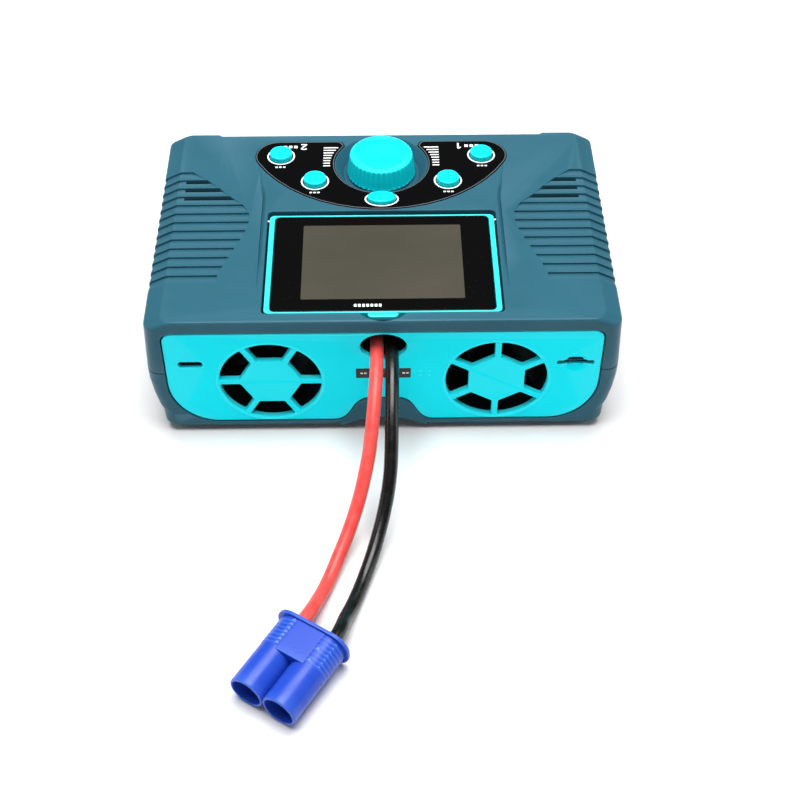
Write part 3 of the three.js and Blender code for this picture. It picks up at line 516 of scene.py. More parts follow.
def printed_film(name, color, roughness):
    """Glossy printed film with faint dust and wipe marks."""
    material, tree, shader = new_material(name, color, roughness, specular=0.22)
    wipes = noise_node(tree, 60, 6, stretch=(1, 6, 1))
    tree.links.new(ramp(tree, wipes.outputs["Fac"], roughness * 0.8, roughness * 1.3),
                   shader.inputs["Roughness"])
    dust = noise_node(tree, 1500, 1)
    specks = ramp(tree, dust.outputs["Fac"], 0, 0.3, 0.76, 0.82)
    tree.links.new(mix_colors(tree, specks, color, (0.12, 0.12, 0.12)), shader.inputs["Base Color"])
    wave = noise_node(tree, 45, 2)
    add_bump(tree, shader, wave.outputs["Fac"], 0.06, 0.0001)
    return material


def printed_ink(name, color):
    """Screen-printed ink: matt, with a slightly broken surface."""
    material, tree, shader = new_material(name, color, 0.6)
    grain = noise_node(tree, 1800, 3)
    worn = tuple(c * 0.8 for c in color)
    tree.links.new(mix_colors(tree, ramp(tree, grain.outputs["Fac"], 0, 1, 0.35, 0.6), worn, color),
                   shader.inputs["Base Color"])
    add_bump(tree, shader, grain.outputs["Fac"], 0.2, 0.00002)
    return material


def lcd_surface(name):
    """A switched-off liquid crystal panel: warm grey, with a faint grid of pixels."""
    material, tree, shader = new_material(name, (0.058, 0.053, 0.040), 0.22, specular=0.3)
    shader.inputs["Coat Weight"].default_value = 0.4
    shader.inputs["Coat Roughness"].default_value = 0.05
    cloud = noise_node(tree, 22, 3, stretch=(1, 1.6, 1))
    shade = mix_colors(tree, ramp(tree, cloud.outputs["Fac"], 0, 1), (0.053, 0.049, 0.037),
                       (0.064, 0.058, 0.044))
    place_node = tree.nodes.new("ShaderNodeTexCoord")
    grid = add_node(tree, "ShaderNodeTexBrick", Scale=2600, offset=0.0)
    grid.inputs["Mortar Size"].default_value = 0.03
    grid.inputs["Brick Width"].default_value = 0.5
    grid.inputs["Row Height"].default_value = 0.5
    tree.links.new(place_node.outputs["Object"], grid.inputs["Vector"])
    line = ramp(tree, grid.outputs["Fac"], 0, 0.12, 0, 1)
    tree.links.new(mix_colors(tree, line, shade, (0.033, 0.031, 0.025)), shader.inputs["Base Color"])
    tree.links.new(ramp(tree, cloud.outputs["Fac"], 0.18, 0.3), shader.inputs["Roughness"])
    return material


def silicone(name, color, pale, roughness, sheen=0.0):
    """Soft wire insulation: satin, with a fine bump and lint."""
    material, tree, shader = new_material(name, color, roughness, specular=0.45)
    cloud = noise_node(tree, 260, 4)
    tree.links.new(mix_colors(tree, ramp(tree, cloud.outputs["Fac"], 0, 0.45), color, pale),
                   shader.inputs["Base Color"])
    tree.links.new(ramp(tree, cloud.outputs["Fac"], roughness - 0.06, roughness + 0.08),
                   shader.inputs["Roughness"])
    shader.inputs["Sheen Weight"].default_value = sheen
    fine = noise_node(tree, 1400, 3)
    add_bump(tree, shader, fine.outputs["Fac"], 0.25, 0.00004)
    return material


def metal(name, color, roughness, stretch=(1, 1, 14), scale=300):
    """Metal with fine drawn lines and uneven shine."""
    material, tree, shader = new_material(name, color, roughness, metallic=1.0)
    lines = noise_node(tree, scale, 4, stretch=stretch)
    dull = tuple(c * 0.8 for c in color)
    tree.links.new(mix_colors(tree, ramp(tree, lines.outputs["Fac"], 0, 1), dull, color),
                   shader.inputs["Base Color"])
    tree.links.new(ramp(tree, lines.outputs["Fac"], roughness * 0.7, roughness * 1.5),
                   shader.inputs["Roughness"])
    add_bump(tree, shader, lines.outputs["Fac"], 0.15, 0.00003)
    return material


def circuit_board(name):
    """Green solder mask with paler copper traces under it and tinned pads."""
    material, tree, shader = new_material(name, (0.02, 0.13, 0.07), 0.35)
    place_node = tree.nodes.new("ShaderNodeTexCoord")
    traces = add_node(tree, "ShaderNodeTexBrick", Scale=260, offset=0.37)
    traces.inputs["Mortar Size"].default_value = 0.12
    tree.links.new(place_node.outputs["Object"], traces.inputs["Vector"])
    mask = mix_colors(tree, ramp(tree, traces.outputs["Fac"], 0, 1, 0, 1), (0.015, 0.10, 0.055),
                      (0.03, 0.2, 0.1))
    pads = add_node(tree, "ShaderNodeTexVoronoi", Scale=420)
    tree.links.new(place_node.outputs["Object"], pads.inputs["Vector"])
    dots = ramp(tree, pads.outputs["Distance"], 1, 0, 0.1, 0.14)
    tree.links.new(mix_colors(tree, dots, mask, (0.6, 0.6, 0.58)), shader.inputs["Base Color"])
    add_bump(tree, shader, traces.outputs["Fac"], 0.3, 0.00004)
    return material


# The second colour of each moulded plastic is the painted highlight on its convex edges.
CASE = moulded_plastic("case plastic", (0.023, 0.102, 0.146), (0.09, 0.20, 0.26), 0.33, edge=0.5,
                       specular=0.13)
PANEL = moulded_plastic("panel plastic", (0.002, 0.86, 1.0), (0.25, 0.98, 1.0), 0.38, grain=1800,
                        grain_depth=0.00001, edge=0.5, blotch=0.02, specular=0.06)
BEZEL = moulded_plastic("bezel plastic", (0.012, 0.70, 0.75), (0.4, 0.95, 0.95), 0.3, grain=1800,
                        grain_depth=0.00001, edge=0.4, blotch=0.02, specular=0.3)
KNOB_PLASTIC = moulded_plastic("knob plastic", (0.002, 0.68, 0.76), (0.1, 0.95, 1.0), 0.36,
                               grain=2200, grain_depth=0.00001, edge=0.35, blotch=0.02, specular=0.12)
PLUG_PLASTIC = moulded_plastic("plug plastic", (0.016, 0.066, 0.50), (0.16, 0.36, 0.95), 0.3,
                               grain=1500, grain_depth=0.00002, edge=0.6, specular=0.3)
BLACK = moulded_plastic("black plastic", (0.008, 0.008, 0.009), (0.04, 0.04, 0.04), 0.42, edge=0.4,
                        specular=0.3)
RUBBER = moulded_plastic("rubber", (0.008, 0.008, 0.008), (0.03, 0.03, 0.03), 0.7, grain=900,
                         grain_depth=0.00006, edge=0.3, specular=0.25)
FERRITE = moulded_plastic("ferrite", (0.05, 0.052, 0.055), (0.1, 0.1, 0.1), 0.65, grain=700,
                          grain_depth=0.00008, edge=0.3)
FILM = printed_film("black film", (0.0015, 0.0015, 0.0018), 0.13)
# A pale ring printed just inside the film's outline: a painted highlight for the film's cut edge.
FILM_EDGE_PAINTED_HIGHLIGHT = printed_ink("film edge painted highlight", (0.10, 0.12, 0.13))
GLASS = printed_film("black glass", (0.002, 0.002, 0.002), 0.06)
WHITE_INK = printed_ink("white ink", (0.86, 0.87, 0.86))
BLACK_INK = printed_ink("black ink", (0.008, 0.008, 0.008))
LCD = lcd_surface("lcd")
RED_SILICONE = silicone("red silicone", (0.78, 0.045, 0.038), (0.88, 0.13, 0.11), 0.4,
                        sheen=0.15)
BLACK_SILICONE = silicone("black silicone", (0.004, 0.004, 0.004), (0.007, 0.007, 0.007), 0.25)
STEEL = metal("steel", (0.56, 0.57, 0.58), 0.3)
ALUMINIUM = metal("aluminium", (0.70, 0.71, 0.72), 0.38)
BRASS = metal("brass", (0.80, 0.58, 0.24), 0.26)
BOARD = circuit_board("circuit board")


# ---------------------------------------------------------------- camera, floor and lights
CAMERA_PLACE = (-0.00088, -0.42856, 0.40523)
CAMERA_ANGLES = (46.29, 1.07, 0.18)       # degrees: down from level, to the right, rolled
CAMERA_LENS = 64.44


def make_camera():
    data = bpy.data.cameras.new("camera")
    data.sensor_width = 36
    data.lens = CAMERA_LENS
    pitch, yaw, roll = (math.radians(angle) for angle in CAMERA_ANGLES)
    forward = Vector((math.sin(yaw) * math.cos(pitch), math.cos(yaw) * math.cos(pitch), -math.sin(pitch)))
    level = Vector((math.cos(yaw), -math.sin(yaw), 0))
    upright = level.cross(forward)
    right = level * math.cos(roll) + upright * math.sin(roll)
    up = upright * math.cos(roll) - level * math.sin(roll)
    camera = bpy.data.objects.new("camera", data)
    turn = Matrix((right, up, -forward)).transposed().to_4x4()
    camera.matrix_world = Matrix.Translation(CAMERA_PLACE) @ turn
    bpy.context.scene.collection.objects.link(camera)
    bpy.context.scene.camera = camera


def make_floor():
    material, tree, shader = new_material("floor", (0.82, 0.82, 0.82), 0.8, specular=0.1)
    cloud = noise_node(tree, 3, 2)
    tree.links.new(mix_colors(tree, ramp(tree, cloud.outputs["Fac"], 0, 1), (0.81, 0.81, 0.81),
                              (0.83, 0.83, 0.83)), shader.inputs["Base Color"])
    half = 6.0
    drop = 0.0002             # the floor lies this far under the feet
    corners = [(-half, -half), (half, -half), (half, half), (-half, half)]
    mesh = bpy.data.meshes.new("floor")
    mesh.from_pydata([(x, y, -drop) for x, y in corners], [], [(0, 1, 2, 3)])
    floor = bpy.data.objects.new("floor", mesh)
    bpy.context.scene.collection.objects.link(floor)
    mesh.materials.append(material)


def add_light(name, place_at, target, size, power):
    data = bpy.data.lights.new(name, "AREA")
    data.shape = "RECTANGLE"
    data.size, data.size_y = size
    data.energy = power
    light = bpy.data.objects.new(name, data)
    light.location = place_at
    light.rotation_euler = (Vector(target) - Vector(place_at)).to_track_quat("-Z", "Y").to_euler()
    bpy.context.scene.collection.objects.link(light)


def make_lights():
    world = bpy.data.worlds.new("world")
    world.use_nodes = True
    world.node_tree.nodes["Background"].inputs["Color"].default_value = (1, 1, 1, 1)
    world.node_tree.nodes["Background"].inputs["Strength"].default_value = 0.1
    bpy.context.scene.world = world
    add_light("overhead softbox", (0, -0.02, 0.95), (0, -0.05, 0), (0.8, 0.7), 17)
    add_light("front softbox", (0, -1.1, 0.35), (0, -0.05, 0.03), (1.0, 0.35), 0.9)
    add_light("rear softbox", (0, 1.2, 0.28), (0, 0, 0.03), (1.2, 0.3), 3)
    add_light("left softbox", (-0.95, 0, 0.3), (0, 0, 0.03), (0.3, 0.7), 1.3)
    add_light("right softbox", (0.95, 0, 0.3), (0, 0, 0.03), (0.3, 0.7), 1.3)
    bpy.context.scene.view_settings.view_transform = "Standard"


make_camera()
make_floor()
make_lights()


# ---------------------------------------------------------------- the two leads
def smooth_path(points, steps=6):
    """Points along the centripetal Catmull-Rom curve through a route."""
    route = [Vector(point) for point in points]
    route = [route[0] * 2 - route[1]] + route + [route[-1] * 2 - route[-2]]
    path = []
    for i in range(1, len(route) - 2):
        quad = route[i - 1:i + 3]
        knots = [0.0]
        for one, two in zip(quad, quad[1:]):
            knots.append(knots[-1] + math.sqrt((two - one).length))
        for k in range(steps):
            t = knots[1] + (knots[2] - knots[1]) * k / steps
            first = [quad[j] + (quad[j + 1] - quad[j]) * ((t - knots[j]) / (knots[j + 1] - knots[j]))
                     for j in range(3)]
            second = [first[j] + (first[j + 1] - first[j]) * ((t - knots[j]) / (knots[j + 2] - knots[j]))
                      for j in range(2)]
            path.append(second[0] + (second[1] - second[0]) * ((t - knots[1]) / (knots[2] - knots[1])))
    path.append(route[-2])
    return path


def path_length(path):
    return sum((two - one).length for one, two in zip(path, path[1:]))


def make_lead(name, route, material):
    path = smooth_path(route)
    data = bpy.data.curves.new(name, "CURVE")
    data.dimensions = "3D"
    data.bevel_depth = LEAD_DIAMETER / 2
    data.bevel_resolution = 7
    data.use_fill_caps = True
    spline = data.splines.new("POLY")
    spline.points.add(len(path) - 1)
    for point, place_at in zip(spline.points, path):
        point.co = (*place_at, 1)
    data.materials.append(material)
    lead = bpy.data.objects.new(name, data)
    bpy.context.scene.collection.objects.link(lead)
    return lead, path_length(path)


def plug_point(x, y, z):
    """A point of the plug, drawn along +Y from its back, in the frame of the model."""
    place_at = Matrix.Translation(PLUG_BACK) @ Matrix.Rotation(PLUG_TURN, 4, "Z")
    return tuple(place_at @ Matrix.Rotation(PLUG_DIP, 4, "X") @ Vector((x, y, z)))


def on_plug(u, v, h):
    """u across, v up and h along the plug, from its back."""
    return plug_point(-u, h, v)


def barrel_outline(grow):
    """The rounded outline round both barrels."""
    half = PLUG["pitch"] / 2
    radius = PLUG["barrel"] + grow
    side = math.pi / 2
    return arc(half, 0, radius, -side, side, 20) + arc(-half, 0, radius, side, 3 * side, 20)


def make_plug():
    length = PLUG["length"]
    half = PLUG["pitch"] / 2
    body_end = 14.0
    first_rib, rib_pitch, rib_count = 1.6, 1.62, 8
    flange = slab("plug_body", rounded_rect(-PLUG["flange_half_width"], PLUG["flange_half_width"],
                                            -PLUG["flange_half"], PLUG["flange_half"], 6.6, 12),
                  0, 1.3, 0.3, 0.3, on_plug)
    core = slab("core", barrel_outline(-1.25), 0.5, body_end, 0, 0.2, on_plug)
    ribs = [slab("rib", barrel_outline(0), first_rib + i * rib_pitch + 0.75,
                 first_rib + (i + 1) * rib_pitch, 0.2, 0.2, on_plug) for i in range(rib_count - 1)]
    pad = slab("pad", rounded_rect(-5.6, 5.6, -6.6, 6.6, 0.5, 3), 0.8, body_end + 0.2, 0, 0.3, on_plug)
    barrels = [turned("barrel", [(PLUG["barrel"] - 0.1, 1), (PLUG["barrel"] - 0.1, length - 0.5),
                                 (PLUG["barrel"] - 0.3, length - 0.15), (PLUG["barrel"] - 0.5, length)],
                      side * half, 0, on_plug) for side in (-1, 1)]
    web = slab("web", rounded_rect(-2.6, 2.6, -0.55, 0.55, 0.25, 3), 2, length - 0.3, 0, 0.2, on_plug)
    housing = combine(flange, [core, pad, web, *ribs, *barrels], "UNION")
    bores = [turned("bore", [(5.35, 15), (5.35, length - 0.45), (5.5, length - 0.1), (5.6, length),
                             (5.6, length + 1)], side * half, 0, on_plug) for side in (-1, 1)]
    seats = [turned("seat", [(3.25, -1), (3.25, 0), (3.0, 0.35), (3.0, 16)], side * half, 0, on_plug, 32)
             for side in (-1, 1)]
    combine(housing, bores + seats)
    place(housing, "case", PLUG_PLASTIC, ["plug_housing"])
    contacts = []
    for number, side in ((1, 1), (2, -1)):
        profile = [(2.0, 3.2), (2.55, 3.6), (2.55, 22.6), (2.4, 23.6), (1.9, 24.4), (1.4, 24.4),
                   (1.3, 20)]
        contact = turned(f"plug_pin_{number}", profile, side * half, 0, on_plug, 40)
        contacts.append(place(contact, "case", BRASS, [f"plug_contact_{number}"]))
    return housing, contacts


def make_leads():
    housing, contacts = make_plug()
    for color, route, material, contact in (("red", RED_ROUTE, RED_SILICONE, contacts[1]),
                                            ("black", BLACK_ROUTE, BLACK_SILICONE, contacts[0])):
        lead, length = make_lead(f"{color}_wire", route, material)
        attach(lead, "case")
        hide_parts(f"{color}_lead")


make_leads()


# ---------------------------------------------------------------- the case's outer form
side_curve = [(z, x) for x, z in softened(SIDE_PROFILE)]
top_index = next(i for i, (z, _) in enumerate(side_curve) if z >= TOP - 1e-4)
side_curve = side_curve[:top_index + 1]
edge_curve = [(z, inset) for inset, z in softened(EDGE_PROFILE)]
edge_curve = edge_curve[:next(i for i, (z, _) in enumerate(edge_curve) if z >= TOP - 1e-4) + 1]
SIDE_Z, SIDE_X = zip(*side_curve)
EDGE_Z, EDGE_INSET = zip(*edge_curve)
SIDE_LEVELS = sorted({round(z, 3) for z in SIDE_Z + EDGE_Z})


def case_ring(z, inset=0.0, height=None):
    """The case's outline at z, moved in by inset, drawn at another height if one is given."""
    side = interpolate(z, SIDE_Z, SIDE_X) - inset
    edge = interpolate(z, EDGE_Z, EDGE_INSET) + inset
    near, far = -FRONT + edge, BACK - edge
    quarter = math.pi / 2
    soft_near, soft_far = max(1.2, NEAR_CORNER - inset), max(1.2, FAR_CORNER - inset)
    outline = (arc(side - soft_near, near + soft_near, soft_near, -quarter, 0, 10)
               + arc(side - soft_far, far - soft_far, soft_far, 0, quarter, 10)
               + arc(-side + soft_far, far - soft_far, soft_far, quarter, 2 * quarter, 10)
               + arc(-side + soft_near, near + soft_near, soft_near, 2 * quarter, 3 * quarter, 10))
    return [(x, y, z if height is None else height) for x, y in outline]


def case_loft(name, low, high):
    """The case's outer form between two heights, its edges at the parting line softened."""
    lip = 0.22
    levels = [z for z in SIDE_LEVELS if low + lip < z < high - lip]
    rings = []
    if low > BASE + 1:
        rings += [case_ring(low, lip), case_ring(low + lip * 0.3, lip * 0.3), case_ring(low + lip)]
    else:
        rings.append(case_ring(low))
    rings += [case_ring(z) for z in levels]
    if high < TOP - 1:
        rings += [case_ring(high - lip), case_ring(high - lip * 0.3, lip * 0.3), case_ring(high, lip)]
    else:
        rings.append(case_ring(high))
    return loft(name, rings)


def cavity(low, high):
    levels = [z for z in SIDE_LEVELS if low < z < high]
    return loft("tool", [case_ring(max(low, BASE), WALL, low)] + [case_ring(z, WALL) for z in levels]
                + [case_ring(high, WALL)])


def ear_tool():
    """Cuts the back wall in between the two ears."""
    inner, outer, wall = EAR_X - EAR_STEP, EAR_X + 0.1, BACK - EAR_STEP
    outline = softened([(-outer, BACK + 0.2, 0), (-EAR_X, BACK, 0.8), (-inner, wall, 0.8),
                        (inner, wall, 0.8), (EAR_X, BACK, 0.8), (outer, BACK + 0.2, 0),
                        (outer, BACK + 4, 0), (-outer, BACK + 4, 0)], closed=True)
    return slab("tool", outline, -2, TOP + 3)


def film_outline(grow=0.0):
    """The control film's outline: a long near arc, round far corners and a bay round the dish."""
    radius, corner, top = FILM_ARC["radius"], FILM_ARC["corner"], FILM_ARC["far"]
    bay = FILM_BAY["radius"] - grow
    corner_y = top - corner
    corner_x = math.sqrt((radius - corner) ** 2 - (FILM_ARC["y"] - corner_y) ** 2)
    meeting = math.atan2(corner_y - FILM_ARC["y"], corner_x)
    bay_end = 0.9 * math.asin((FILM_BAY["far"] - KNOB_Y) / bay)
    mouth = (bay * math.cos(bay_end), KNOB_Y + bay * math.sin(bay_end))
    points = arc(0, FILM_ARC["y"], radius + grow, -math.pi - meeting, meeting)
    points += arc(corner_x, corner_y, corner + grow, meeting, math.pi / 2)
    shoulder = softened([(mouth[0] + 5, top + grow, 0), (mouth[0] + 1.2, top + grow, 2.4), (*mouth, 0)])
    points += shoulder
    points += arc(0, KNOB_Y, bay, bay_end, -math.pi - bay_end)[1:-1]
    points += [(-u, v) for u, v in reversed(shoulder)]
    points += arc(-corner_x, corner_y, corner + grow, math.pi / 2, math.pi - meeting)
    return clean(points)


def grip_inner(y):
    """How far in the grip reaches at y."""
    rows = [GRIP["near"] + i * GRIP["pitch"] for i in range(GRIP["count"])]
    return interpolate(y, rows, GRIP_INNER)


def grip_tool(index):
    """One step of the right grip, swept from the top over the shoulder onto the side wall."""
    far = GRIP["near"] + index * GRIP["pitch"]
    near = far - GRIP["pitch"] + 0.25
    depth = GRIP["depth"]
    profile = [(far + 0.2, 1.2), (far + 0.2, 0.0), (far + 0.06, -0.06), (far, -0.2),
               (far, 0.1 - depth), (far - 0.1, -depth), (far - 0.7, -0.72 * depth),
               (far - 1.7, -0.45 * depth), (near + 1.2, -0.14), (near, 0.02), (near, 1.2)]
    stations = [(x, z) for z, x in reversed(side_curve) if z > GRIP["bottom"]]
    stations.append((interpolate(GRIP["bottom"], SIDE_Z, SIDE_X), GRIP["bottom"]))
    rings = []
    for inward in (0, 4):
        rings.append([(min(grip_inner(y) + inward, 77.5), y, TOP + h) for y, h in profile])
    for i, (x, z) in enumerate(stations):
        before = stations[max(i - 1, 0)]
        after = stations[min(i + 1, len(stations) - 1)]
        along = Vector((after[0] - before[0], after[1] - before[1])).normalized()
        out = Vector((-along.y, along.x))
        share = interpolate(z, (GRIP["bottom"], GRIP["bottom"] + 4), (0.25, 1))
        rings.append([(x + out.x * h * (share if h < 0 else 1), y, z + out.y * h * (share if h < 0 else 1))
                      for y, h in profile])
    return loft("tool", rings)


def vent_tool(row):
    far = GRIP["near"] + row * GRIP["pitch"] - 0.02
    near = far - VENT["width"]
    outline = softened([(grip_inner(near) + 0.1, near, 0.25), (VENT["outer"], near, 0.25),
                        (VENT["outer"], far, 0.25), (grip_inner(far) + 0.1, far, 0.25)], closed=True)
    return slab("tool", outline, TOP - WALL - 2, TOP + 1)


def vent_relief(row):
    """Thins the top wall from below round a vent."""
    far = GRIP["near"] + row * GRIP["pitch"]
    near = far - VENT["width"]
    outline = rounded_rect(grip_inner(far) - 1.5, VENT["outer"] + 0.6, near - 1.5, far + 1.4, 0.6)
    return slab("tool", outline, TOP - WALL - 2, TOP - GRIP["depth"] - 0.85)


def crease_tool():
    """A shallow step along the display's side: a wall that faces in, and a ramp back up."""
    path = softened([(CREASE[0][0], CREASE[0][1], 0), (*CREASE[1], 30), (*CREASE[2], 20),
                     (CREASE[3][0], CREASE[3][1], 0)], steps=8)
    dense = []
    for one, two in zip(path, path[1:]):
        dense += [(one[0] + (two[0] - one[0]) * k / 6, one[1] + (two[1] - one[1]) * k / 6) for k in range(6)]
    dense.append(path[-1])
    rings = []
    low, high = dense[0][1], dense[-1][1]
    for x, y in dense:
        depth = 0.85 * min(1, (y - low) / 14 + 0.02, (high - y) / 16 + 0.02)
        rings.append([(x + 0.25, y, TOP + 1), (x + 0.25, y, TOP), (x + 0.06, y, TOP - 0.3 * depth),
                      (x, y, TOP - depth), (x - 1.05, y, TOP + 0.01), (x - 1.05, y, TOP + 1)])
    return loft("tool", rings)


def button_shape(name, lift=0.0):
    """Centre, radii and top of a button's cap."""
    low, high = span("button_" + name)
    centre = (low + high) / 2
    return (centre.x, centre.y, (high.x - low.x) / 2 - BUTTON_FLANGE + lift,
            (high.y - low.y) / 2 - BUTTON_FLANGE + lift, high.z)


def panel_outline(grow=0.0):
    side, top, bottom = PANEL_HIGH.x + grow, PANEL_HIGH.z + grow, PANEL_LOW.z - grow
    bay = PANEL_BAY_TOP - grow
    centre_x = 62
    quarter = math.pi / 2
    points = arc(centre_x, bottom + 20, side - centre_x, -quarter, 0, 16, 20)
    points += arc(side - 4, top - 4, 4, 0, quarter, 8)
    points += arc(-side + 4, top - 4, 4, quarter, 2 * quarter, 8)
    points += arc(-centre_x, bottom + 20, side - centre_x, 2 * quarter, 3 * quarter, 16, 20)
    points += bezier((-19, bottom), (-11 - grow, bottom), (-13 + grow, bay), (-5, bay))
    points += bezier((5, bay), (13 - grow, bay), (11 + grow, bottom), (19, bottom))
    return clean(points)


def output_outline(grow=0.0):
    return rounded_rect(OUTPUT_LOW.x - grow, OUTPUT_HIGH.x + grow, OUTPUT_LOW.z - grow,
                        OUTPUT_HIGH.z + grow, 4)


def face_openings():
    """Tools that open the case for the fan panel and the output panel."""
    rear = BACK - EAR_STEP
    return [pocket(panel_outline(PANEL_GAP), FRONT - WALL - 1, FRONT, 0.3, face=on_front),
            pocket(output_outline(PANEL_GAP), rear - WALL - 1, rear, 0.3, face=on_back)]


def tub_outline(grow=0.0):
    return rounded_rect(-TUB["half_width"] - grow, TUB["half_width"] + grow, TUB["near"] - grow,
                        TUB["far"] + grow, 2 + grow)


def make_top_case():
    shell = case_loft("top_case", PARTING + PARTING_GAP, TOP)
    combine(shell, [cavity(PARTING - 1, TOP - WALL)])
    tub = slab("tub", tub_outline(1.3), TUB["floor"] - 1.3, TOP - 1)
    boss_radius = DISH["radius"] + 1.2
    boss = turned("boss", [(boss_radius, DISH["floor"] - 1.5), (boss_radius, TOP - 1)], 0, KNOB_Y)
    combine(shell, [tub, boss], "UNION")
    notch_arc = arc(0, NOTCH["near"] + NOTCH["radius"], NOTCH["radius"], math.pi * 1.02, math.pi * 1.98)
    notch_top = NOTCH["near"] + NOTCH["radius"]
    notch = pocket([(NOTCH["radius"], notch_top), (-NOTCH["radius"], notch_top)] + notch_arc,
                   NOTCH["floor"], TOP - 0.1, 0.5, 0.4)
    rim, floor, floor_radius = DISH["radius"], DISH["floor"], DISH["floor_radius"]
    dish = turned("tool", [(floor_radius - 1, floor), (floor_radius, floor + 0.15),
                           (rim - 0.35, TOP - 0.5), (rim, TOP - 0.12), (rim + 0.3, TOP),
                           (rim + 0.3, TOP + 1)], 0, KNOB_Y, steps=96)
    bushing = turned("tool", [(4, 40), (4, TOP + 1)], 0, KNOB_Y)
    film_seat = pocket(film_outline(0.28), FILM_TOP - 1.1, TOP, 0.25)
    tools = [pocket(tub_outline(), TUB["floor"], TOP, 0.45, 0.6), notch, dish, bushing, film_seat,
             ear_tool(), *face_openings()]
    for name in BUTTON_NAMES:
        x, y, rx, ry, _ = button_shape(name, GAP)
        tools.append(slab("tool", ellipse(x, y, rx, ry), TOP - 6, TOP + 1))
        tools.append(slab("tool", ellipse(x, y, rx + 1, ry + 1), TOP - 8, TOP - WALL - 0.6))
    combine(shell, tools)
    rows = [grip_tool(index) for index in range(GRIP["count"])]
    combine(shell, rows + [mirrored_x(row) for row in rows])
    for more in ([vent_relief(row) for row in VENT_ROWS],
                 [vent_tool(row) for row in VENT_ROWS] + [crease_tool()]):
        combine(shell, more + [mirrored_x(tool) for tool in more])
    place(shell, "case", CASE, ["top_shell"])


def arch_outline():
    points = [(21, BASE - 2), (19.5, BASE)]
    points += bezier((19.5, BASE), (12, BASE + 0.5), (11, BASE + 5), (0, BASE + 5))
    points += bezier((0, BASE + 5), (-11, BASE + 5), (-12, BASE + 0.5), (-19.5, BASE))
    points += [(-21, BASE - 2)]
    return clean(points)


def make_bottom_case():
    shell = case_loft("bottom_case", BASE, PARTING - PARTING_GAP)
    combine(shell, [cavity(BASE + WALL, PARTING + 1)])
    roof = slab("roof", [(-17, BASE + 0.5), (17, BASE + 0.5), (13, BASE + 7.2), (-13, BASE + 7.2)],
                FRONT - 18, FRONT - 0.4, face=on_front)
    combine(shell, [roof], "UNION")
    arch = pocket(arch_outline(), FRONT - 15.5, FRONT, 0.5, 1.5, face=on_front)
    tools = [arch, ear_tool(), *face_openings()]
    for number in range(1, 5):
        low, high = span(f"case_screw_{number}")
        centre = (low + high) / 2
        tools.append(pocket(ellipse(centre.x, -centre.y, 3.1, 3.1, 40), -BASE - 2, -BASE, 0.3, 0,
                            face=on_base))
    label_area = rounded_rect(-34, 34, -20, 16, 3)
    tools.append(pocket(label_area, -BASE - 0.35, -BASE, 0.25, 0.1, face=on_base))
    combine(shell, tools)
    place(shell, "case", CASE, ["bottom_shell"])


make_top_case()
make_bottom_case()


# ---------------------------------------------------------------- fan panel
def grille_opening(x, turn, index):
    """One opening between two of the six spokes; its inner edge is a side of the hexagonal hub."""
    outer, hub, spoke = GRILLE["outer"], GRILLE["hub"], GRILLE["spoke"]
    sixth = math.pi / 6
    reach = sixth - math.asin(spoke / outer)
    hub_half = hub * math.tan(sixth) - spoke / math.cos(sixth)
    rim = [(u, v, 0) for u, v in arc(0, 0, outer, -reach, reach, 12)]
    rim[0] = (*rim[0][:2], 0.9)
    rim[-1] = (*rim[-1][:2], 0.9)
    outline = softened(rim + [(hub, hub_half, 1.0), (hub, -hub_half, 1.0)], closed=True)
    return turned_outline(outline, x, FAN_Z, turn + (2 * index + 1) * sixth)


def make_fan_panel():
    face = -PANEL_LOW.y
    back = -PANEL_HIGH.y
    panel = slab("fan_plate", panel_outline(), back, face, 0.1, 0.45, on_front)
    rings, tools = [], []
    for x, side in ((-FAN_X, "left"), (FAN_X, "right")):
        bead = [(GRILLE["ring"] + 0.42 * math.cos(a), face - 0.08 + 0.28 * math.sin(a))
                for a in (i * math.pi / 6 for i in range(12))]
        rings.append(revolved_loop("bead", bead, x, FAN_Z, on_front))
        for index in range(6):
            outline = grille_opening(x, FAN_TILT[side], index)
            tools.append(pocket(outline, back - 1, face, 0.4, 0, on_front))
    combine(panel, rings, "UNION")
    hole = ellipse(0, LEAD_HOLE["z"], LEAD_HOLE["half_width"], LEAD_HOLE["half_height"])
    tools.append(pocket(hole, back - 1, face, 0.35, 0, on_front))
    usb_low, usb_high = span("usb_socket")
    card_low, card_high = span("card_socket")
    for low, high, inset, radius in ((usb_low, usb_high, -0.1, 1.45), (card_low, card_high, 0.4, 0.7)):
        slot = rounded_rect(low.x - 0.1, high.x + 0.1, low.z + inset, high.z - inset, radius)
        tools.append(pocket(slot, back - 1, face, 0.3, 0, on_front))
        tools.append(slab("tool", offset(slot, 0.7), back - 1, face - 1.0, face=on_front))
    card_x = (card_low.x + card_high.x) / 2
    card_z = (card_low.z + card_high.z) / 2
    thumb = turned("tool", [(0.4, face - 1.6), (2.6, face - 1.35), (4.1, face - 0.5), (4.8, face + 0.05),
                            (4.8, face + 1)], card_x, card_z, on_front)
    for tool in (*tools, thumb):
        combine(panel, [tool])
    place(panel, "case", PANEL, ["fan_panel"])


def print_on_front(name, outline, material, lift=0.06):
    face = -PANEL_LOW.y
    piece = slab(name, outline, face - 0.02, face + lift, 0, 0.02, on_front, 2)
    return place(piece, "case", material)


